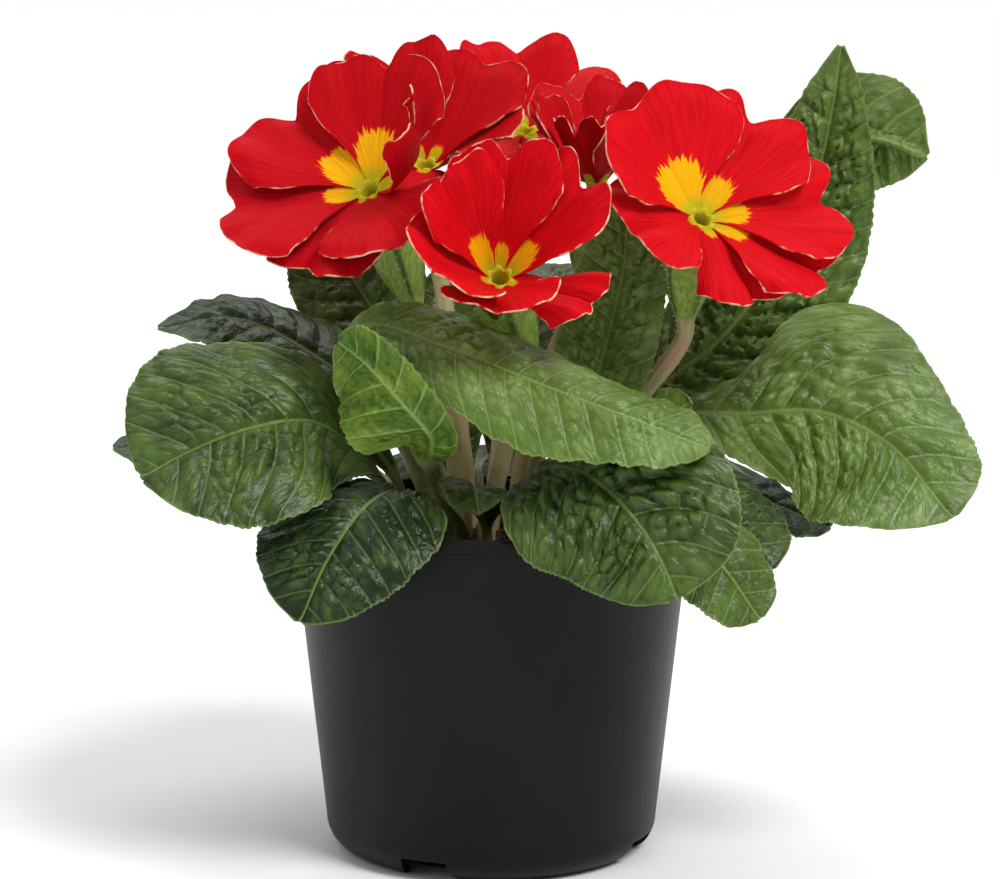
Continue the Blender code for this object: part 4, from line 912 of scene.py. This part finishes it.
class Flower:
    """A corolla on its tube, in a toothed calyx on its own stem. The foot is where the tube begins; depth
    darkens its red as painted shade.
    """

    def __init__(self, name, hole, throat, axis, foot, petals, route, depth):
        self.name, self.hole, self.route, self.depth = name, hole, route, depth
        self.throat, self.foot = np.array(throat, float), np.array(foot, float)
        self.axis = np.array(axis, float) / np.linalg.norm(axis)
        e = np.array([1.0, 0, 0]) - self.axis * self.axis[0]
        self.e = e / np.linalg.norm(e)
        self.petals = [Petal(*petal) for petal in petals]
        for petal, after in zip(self.petals, self.petals[1:] + self.petals[:1]):
            over = 1 if sum(petal.lift) >= sum(after.lift) else -1
            petal.edges[1], after.edges[0] = over, -over
            petal.beside[1], after.beside[0] = after.lift, petal.lift
            petal.starts[1] = after.starts[0] = ((after.at - petal.at) % 360) / 2

    def spine(self, u):
        """Point and direction along the tube, from its foot at 0 to the throat at 1."""
        knee = self.throat - self.axis * TUBE_BEND
        point = self.foot * (1 - u) ** 2 + knee * 2 * u * (1 - u) + self.throat * u ** 2
        way = (knee - self.foot) * (1 - u) + (self.throat - knee) * u
        return point, way / np.linalg.norm(way)

    def across(self, way):
        """Two directions across a direction, kept in step along the whole stem."""
        e = self.e - way * np.dot(way, self.e)
        e /= np.linalg.norm(e)
        return e, np.cross(way, e)

    def ring(self, u, radius, lift=0.0):
        """One ring of the calyx at a place along the tube; radius and lift may be given per point."""
        centre, way = self.spine(u)
        return ring_points(centre, *self.across(way), radius) + per_side(lift) * way


def tube_piece(name, rings, sides):
    """A closed tube through rings of points: a grid bent round, with its seam and its ends closed."""
    obj, x, y = grid_piece(name, sides, len(rings) - 1)
    table = np.array(rings)
    index_x = np.rint(x * sides).astype(int) % sides
    index_y = np.rint(y * (len(rings) - 1)).astype(int)
    set_places(obj, table[index_y, index_x])
    bpy.ops.object.mode_set(mode="EDIT")
    bpy.ops.mesh.select_all(action="SELECT")
    bpy.ops.mesh.remove_doubles(threshold=0.000001)
    bpy.ops.mesh.fill_holes(sides=0)
    bpy.ops.mesh.select_all(action="SELECT")
    bpy.ops.mesh.normals_make_consistent(inside=False)
    bpy.ops.object.mode_set(mode="OBJECT")
    return obj


def per_side(value):
    """A column with one number for each side of a stem, from one number or one per side."""
    return np.broadcast_to(value, CALYX_SIDES)[:, None]


def ring_points(centre, e, f, radius):
    """One ring of points about a centre; the radius may be given per point."""
    turn = per_side(2 * math.pi * np.arange(CALYX_SIDES) / CALYX_SIDES)
    return centre + (np.cos(turn) * e + np.sin(turn) * f) * per_side(radius)


def build_stem(flower):
    """Stem, then the calyx from its foot up over the teeth and down inside."""
    foot, up = flower.spine(0)
    under = foot - up * CALYX_FOOT
    points = stalk_foot(flower.hole) + flower.route + [tuple(under - up * STEM_STRAIGHT), tuple(under)]
    line, tangent, _ = smooth_route(points, STEM_RINGS)
    turn = 2 * math.pi * np.arange(CALYX_SIDES) / CALYX_SIDES
    rings = []
    for k, (p, way) in enumerate(zip(line, tangent)):
        radius = STEM_R * (1 + 0.05 * np.cos(5 * turn) + 0.04 * math.sin(0.9 * k))
        rings.append(ring_points(p, *flower.across(way), radius))
    ridge = np.cos(CALYX_RIDGES * turn)
    crest = np.exp(3.0 * (ridge - 1))
    furrow = (1 - ridge) / 2
    tooth_place = (CALYX_RIDGES * turn / (2 * math.pi) + 0.5) % 1
    tooth = CALYX_TOOTH * (1 - 2 * np.abs(tooth_place - 0.5)) ** 0.9
    for u, out, high in ((0.0, 0.4, 0.35), (0.04, 1.0, 0.6), (0.10, 1.7, 0.9), (0.18, 2.5, 1.1),
                         (0.28, 3.1, 1.2), (0.38, 3.5, 1.2), (0.47, 3.7, 1.2), (0.54, 3.8, 1.2)):
        rings.append(flower.ring(u, CALYX_INNER + out + high * crest - 0.5 * furrow))
    for u, out, share in ((0.56, 3.9, 0.30), (0.57, 4.0, 0.65), (0.58, 4.2, 1.0), (0.578, 3.85, 1.0),
                          (0.57, 3.5, 0.65), (0.56, 3.2, 0.30), (0.54, 2.9, 0.0)):
        rings.append(flower.ring(u, CALYX_INNER + out + 0.6 * crest - 0.3 * furrow, tooth * share))
    for u, out in ((0.35, 2.2), (0.15, 0.9), (0.02, 0.0)):
        rings.append(flower.ring(u, CALYX_INNER + out))
    obj = tube_piece("stem_%s_fine" % flower.name, rings, CALYX_SIDES)
    places = vertex_places(obj) - foot
    e, f = flower.across(up)
    height = places @ up
    ribbed = smoothstep(0.70, 0.98, np.cos(CALYX_RIDGES * np.arctan2(places @ f, places @ e)))
    store(obj, calyx=smoothstep(-3.0, 1.0, height), ridge=ribbed * smoothstep(-1.0, 2.0, height))
    smooth_by_angle(obj, 70)
    wear(obj, stem_skin)
    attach(obj, "root")
    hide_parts("stem_" + flower.name)
    return obj


def petal_sheet(flower, number, petal, grid):
    """One petal as a sheet; its base lies under the throat's rim."""
    obj, x, y = grid_piece("petal_%s_%d" % (flower.name, number), *grid)
    s, v = 1 - (1 - y) ** 1.2, 2 * x - 1
    r, angle, h, d, inset = petal.points(s, v)
    spread = np.cos(angle)[:, None] * flower.e + np.sin(angle)[:, None] * np.cross(flower.axis, flower.e)
    set_places(obj, flower.throat + spread * r[:, None] + flower.axis * h[:, None])
    inset = inset + 2.5 * (1 - smoothstep(0.25, 0.5, s))
    salt = number + 0.37 * petal.at
    store(obj, reach=d, across=v, salt=salt, inset=inset, eye=petal.eye, depth=flower.depth)
    return obj


def throat_sheet(flower):
    """The folded mouth of the corolla and its tube, down into the calyx, as one sheet."""
    obj, x, y = grid_piece("throat_" + flower.name, THROAT_SIDES, THROAT_RINGS)
    turn = 2 * math.pi * x
    down = 1 - y
    fold = np.cos(len(flower.petals) * (turn - math.radians(flower.petals[0].at)))
    stops = [0, 0.05, 0.12, 0.3, TUBE_FROM, 1.0]
    radius = np.interp(down, stops, [3.3, 2.75, 2.45, 2.0, TUBE_R, TUBE_R])
    lift = np.interp(down, stops, [0.05, 0.55, -0.4, -4.0, -7.5, -8.0])
    radius = radius + FOLD_DEPTH * fold * smoothstep(0.14, 0.02, down)
    lift = lift + FOLD_DEPTH * fold * smoothstep(0.16, 0.05, down) * smoothstep(0.0, 0.04, down)
    rows = []
    for k in range(len(x)):
        deep = max(0.0, (down[k] - TUBE_FROM) / (1 - TUBE_FROM))
        centre, way = flower.spine(1 - 0.96 * deep) if deep > 0 else (flower.throat, flower.axis)
        e, f = flower.across(way)
        offset = flower.axis * (lift[k] if deep <= 0 else -7.5 * (1 - deep))
        rows.append(centre + offset + (e * math.cos(turn[k]) + f * math.sin(turn[k])) * radius[k])
    set_places(obj, np.array(rows))
    store(obj, reach=-4.0 * down, across=0.15 * fold, salt=0.0, inset=5.0, eye=0.6, depth=flower.depth)
    return obj


def build_corolla(flower, grid):
    """Petals and throat joined as one sheet, then given their thickness."""
    parts = [petal_sheet(flower, number, petal, grid) for number, petal in enumerate(flower.petals)]
    parts.append(throat_sheet(flower))
    select_none()
    for obj in parts:
        obj.select_set(True)
    corolla = bpy.context.view_layer.objects.active = parts[0]
    bpy.ops.object.join()
    corolla.name = "corolla_%s_fine" % flower.name
    bpy.ops.object.mode_set(mode="EDIT")
    bpy.ops.mesh.select_all(action="SELECT")
    bpy.ops.mesh.remove_doubles(threshold=0.000001)
    bpy.ops.object.mode_set(mode="OBJECT")
    thickened(corolla, np.ones(len(corolla.data.vertices)), PETAL_T, 1, 2)
    smooth_by_angle(corolla, 60)
    wear(corolla, petal_face, petal_back, petal_edge)
    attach(corolla, "root")
    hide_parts("corolla_" + flower.name)


stem_skin = new_finish("Stem and calyx", 0.6)
brown = stem_skin.mix(stem_skin.step(stem_skin.mottled(6.0, 3.0, (1, 1, 0.3)), 0.35, 0.65),
                      (0.42, 0.39, 0.17), (0.52, 0.38, 0.21))
streaked = stem_skin.step(stem_skin.mottled(0.8, 3.0, (1, 1, 0.22)), 0.40, 0.62)
pale = stem_skin.mix(streaked, (0.27, 0.39, 0.060), (0.17, 0.27, 0.026))
pale = stem_skin.mix(stem_skin.read("ridge"), pale, (0.042, 0.12, 0.008))
stem_skin.give("Base Color", stem_skin.mix(stem_skin.read("calyx"), brown, pale))
stem_skin.bump(stem_skin.mottled(0.7, 3.0, (1, 1, 0.4)), 0.00025)


def petal_noise(finish, across_scale, reach_scale, detail=2.0):
    """Noise that runs along a petal, from the places kept with its mesh."""
    scales = (("across", across_scale), ("reach", reach_scale), ("salt", 7.3))
    places = {n: finish.math("MULTIPLY", finish.read(kept), scale) for n, (kept, scale) in enumerate(scales)}
    inputs = {"Vector": finish.added("ShaderNodeCombineXYZ", places, 0), "Scale": 1.0, "Detail": detail}
    return finish.added("ShaderNodeTexNoise", inputs, "Fac")


def picotee(finish, color):
    """A petal's colour with the thin pale line along its edge, a little uneven in width."""
    uneven = finish.math("MULTIPLY", petal_noise(finish, 7.0, 0.3), 1.4)
    way_in = finish.math("ADD", finish.read("inset"), uneven)
    return finish.mix(finish.step(way_in, 0.90, 0.50), color, (0.86, 0.50, 0.32))


petal_face = new_finish("Petal face", 0.6)
reach = petal_face.read("reach")
veined = petal_face.step(petal_noise(petal_face, 30.0, 0.10, 3.0), 0.36, 0.68)
red = petal_face.mix(veined, (0.65, 0.0032, 0.0085), (0.51, 0.0020, 0.0062))
# depth darkens a whole flower's red: painted shade, strongest on the left flower and the blooms at the back
red = petal_face.mix(petal_face.read("depth"), red, (0.30, 0.0012, 0.0055))
limit = petal_face.math("MULTIPLY_ADD", petal_noise(petal_face, 14.0, 0.20, 3.0), 7.0, 8.0)
limit = petal_face.math("MULTIPLY", limit, petal_face.read("eye"))
width_away = petal_face.math("ABSOLUTE", petal_face.read("across"))
pinch = petal_face.math("MULTIPLY", petal_face.math("POWER", width_away, 2.8), 10.0)
outer = petal_face.math("SUBTRACT", petal_face.math("SUBTRACT", limit, pinch), reach)
streak = petal_face.step(petal_noise(petal_face, 12.0, 0.05), 0.45, 0.65)
yellow = petal_face.mix(petal_face.math("MULTIPLY", streak, 0.55), (0.84, 0.43, 0.004), (0.70, 0.27, 0.003))
yellow = petal_face.mix(petal_face.step(reach, 5.5, 0.8), yellow, (0.50, 0.45, 0.012))
# Paler still deep in the tube: painted light against the shade inside it.
yellow = petal_face.mix(petal_face.step(reach, 0.4, -1.0), yellow, (0.60, 0.52, 0.030))
orange = petal_face.mix(petal_face.step(outer, -0.9, 0.25), red, (0.80, 0.07, 0.006))
eyed = petal_face.mix(petal_face.step(outer, -0.2, 0.4), orange, yellow)
petal_face.give("Base Color", picotee(petal_face, eyed))
petal_face.bump(petal_noise(petal_face, 30.0, 0.10, 3.0), 0.00026)

petal_back = new_finish("Petal back", 0.6)
veined = petal_back.step(petal_noise(petal_back, 22.0, 0.10), 0.36, 0.68)
red = petal_back.mix(veined, (0.52, 0.0060, 0.0100), (0.36, 0.0035, 0.0070))
red = petal_back.mix(petal_back.step(petal_back.read("reach"), 4.5, -0.5), red, (0.42, 0.38, 0.07))
petal_back.give("Base Color", picotee(petal_back, red))
petal_back.bump(petal_noise(petal_back, 26.0, 0.12, 3.0), 0.0002)

petal_edge = two_tone("Cream petal edge", 0.6, (5.0,), (0.40, 0.58), (0.84, 0.48, 0.30), (0.66, 0.05, 0.03))
for finish in (petal_face, petal_back, petal_edge):
    finish.give("Specular IOR Level", 0.05)

# The last number of each flower is its depth, the painted shade on its red.
flowers = [
    Flower("left", (7, 190), (-30, -12, 169), (-0.38, -0.62, 0.68), (-20, -4, 142),
           [(349, 34, (14, 88), 34, 0.5), (70, 34, (28, 36), 46, 1.15), (127, 35, (23, 29), 50, 1.1, 0.80),
            (183, 36, (18, 24), 48, 0.75), (237, 29, (10, 14), 46, 0.15),
            (293, 28, (14, 16), 48, 0.12, 0.95)],
           [(-12, -2, 116)], 0.45),
    Flower("front", (7, 260), (2, -34, 149), (0.05, -0.75, 0.66), (8, -17, 125),
           [(36, 34, (42, 52), 46, 0.85), (88, 33, (46, 54), 46, 0.55), (140, 30, (50, 58), 48, 0.85, 0.95),
            (212, 31, (42, 56), 58, 0.3), (268, 27, (38, 48), 50, 0.2), (328, 28, (26, 30), 24, 0.2)],
           [(4, -11, 106)], 0.0),
    Flower("right", (7, 330), (52, -14, 162), (0.33, -0.68, 0.65), (49, -4, 138),
           [(18, 35, (14, 16), 44, 0.85), (68, 34, (20, 26), 44, 0.9), (136, 33, (18, 34), 62, 1.2, 0.94),
            (213, 27, (14, 24), 44, 0.15), (299, 26, (9, 8), 32, 0.3), (336, 33, (14, 14), 38, 0.8)],
           [(24, -4, 102), (42, -4, 122)], 0.0),
    Flower("back_left", (7, 140), (-17, 18, 174), (0.0, -0.45, 0.9), (-14, 15, 150),
           [(346, 28, (33, 38), 48, 0.3), (57, 34, (35, 42), 54, 0.4, 0.94), (115, 33, (42, 50), 46, 0.4),
            (185, 26, (40, 50), 42, 0.4), (262, 26, (16, 18), 50, 0.25)],
           [(-9, 8, 115)], 0.35),
    Flower("back", (7, 90), (9, 50, 182), (0.0, -0.4, 0.92), (8, 57, 159),
           [(28, 33, (12, 16), 50, 0.3), (95, 29, (34, 38), 50, 0.3), (155, 31, (22, 26), 46, 0.3),
            (222, 24, (6, 4), 42, 0.3), (292, 24, (6, 4), 44, 0.3)],
           [(4, 27, 118)], 0.15),
    Flower("middle", (7, 40), (27, 23, 170), (-0.05, -0.2, 0.97), (24, 20, 147),
           [(28, 28, (46, 58), 44, 0.3), (98, 31, (44, 52), 52, 0.3), (168, 25, (54, 66), 46, 0.3),
            (242, 22, (56, 74), 46, 0.3), (314, 24, (50, 62), 44, 0.3)],
           [(11, 10, 112)], 0.3),
]
stems = []
for flower in flowers:
    near = flower.name in ("left", "front", "right")
    build_corolla(flower, (72, 30) if near else (40, 20))
    stems.append(build_stem(flower))

# Hairs: short white down on the flower stems and the calyxes. Each hair is a slim three-sided
# cone whose root sits in the skin, and all hairs of a stem are one piece.
HAIR_LENGTH = 1.2
HAIR_R = 0.065
HAIR_ROOT = 0.08
HAIR_CORNERS = (0, 2.094, 4.189)
HAIRS_PER_STEM = 900
HAIRS_FROM = 84
HAIRS_TO = 200
HAIR_FACES = [(0, 2, 1), (0, 1, 3), (1, 2, 3), (2, 0, 3)]


def downy(name, carrier):
    """Hairs at random places on a stem, standing out from its skin."""
    faces = carrier.data.polygons
    centres = np.array([p.center for p in faces]) / MM
    normals = np.array([p.normal for p in faces])
    areas = np.array([p.area for p in faces])
    fit = (centres[:, 2] > HAIRS_FROM) & (centres[:, 2] < HAIRS_TO)
    hairs = []
    for index in draw.choice(np.nonzero(fit)[0], HAIRS_PER_STEM, p=areas[fit] / areas[fit].sum()):
        n = normals[index]
        lean = n + draw.normal(0, 0.22, 3)
        lean /= np.linalg.norm(lean)
        e = np.cross(lean, [0.3, 0.5, 0.81])
        e /= np.linalg.norm(e)
        f = np.cross(lean, e)
        start = centres[index] - n * HAIR_ROOT + draw.normal(0, 0.15, 3)
        ring = [start + (e * math.cos(w) + f * math.sin(w)) * HAIR_R for w in HAIR_CORNERS]
        hairs.append(np.array(ring + [start + lean * HAIR_LENGTH * draw.uniform(0.6, 1.2)]))
    obj = joined_copies(name, HAIR_FACES, hairs)
    wear(obj, down_white)
    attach(obj, "root")


down_white = two_tone("White down", 0.6, (4.0,), (0.35, 0.65), (0.62, 0.62, 0.52), (0.80, 0.78, 0.70))
for flower, stem in zip(flowers, stems):
    downy("hairs_stem_" + flower.name, stem)

# Studio: a plain pale floor, a white surround, three wide soft lamps, and the camera at the
# photograph's place, looking a little down on the plant with a long lens.
CAMERA_PLACE = (0.0, -0.692, 0.200)
CAMERA_PITCH = 7.8
LENS = 98.46
SHIFT_X = 0.0087
SURROUND = 0.28
KEY_POWER = 2.4
FILL_POWER = 0.5
TOP_POWER = 1.6

select_none()
bpy.ops.mesh.primitive_plane_add(size=8, location=(0, 0, 0))
floor = bpy.context.active_object
floor.name = "floor"
paper = new_finish("Studio paper", 0.9)
paper.give("Base Color", (0.93, 0.93, 0.93))
wear(floor, paper)

world = bpy.data.worlds.new("Studio")
bpy.context.scene.world = world
world.use_nodes = True
sky = Finish(world.node_tree)
white = (1.0, 1.0, 1.0)
surround = sky.added("ShaderNodeBackground", {"Color": white, "Strength": SURROUND}, 0)
backdrop = sky.added("ShaderNodeBackground", {"Color": white, "Strength": 1.0}, 0)
seen = sky.added("ShaderNodeLightPath", {}, "Is Camera Ray")
either = sky.added("ShaderNodeMixShader", {0: seen, 1: surround, 2: backdrop}, 0)
sky.put(either, sky.nodes["World Output"].inputs["Surface"])


def soft_lamp(name, aim, spread, power):
    """A wide, even lamp from one direction, as a large diffuser gives."""
    data = bpy.data.lights.new(name, "SUN")
    data.angle = math.radians(spread)
    data.energy = power
    lamp = bpy.data.objects.new(name, data)
    lamp.rotation_euler = Vector(aim).to_track_quat("-Z", "Y").to_euler()
    bpy.context.scene.collection.objects.link(lamp)


soft_lamp("key", (-0.50, 0.55, -0.90), 26, KEY_POWER)
soft_lamp("fill", (0.75, 0.45, -0.65), 60, FILL_POWER)
soft_lamp("top", (0.05, -0.45, -1.0), 60, TOP_POWER)

lens = bpy.data.cameras.new("camera")
lens.lens = LENS
lens.sensor_width = 36.0
lens.shift_x = SHIFT_X
lens.clip_start = 0.05
lens.clip_end = 20.0
camera = bpy.data.objects.new("camera", lens)
camera.location = CAMERA_PLACE
camera.rotation_euler = (math.radians(90 - CAMERA_PITCH), 0, 0)
bpy.context.scene.collection.objects.link(camera)
bpy.context.scene.camera = camera
bpy.context.scene.view_settings.view_transform = "Standard"
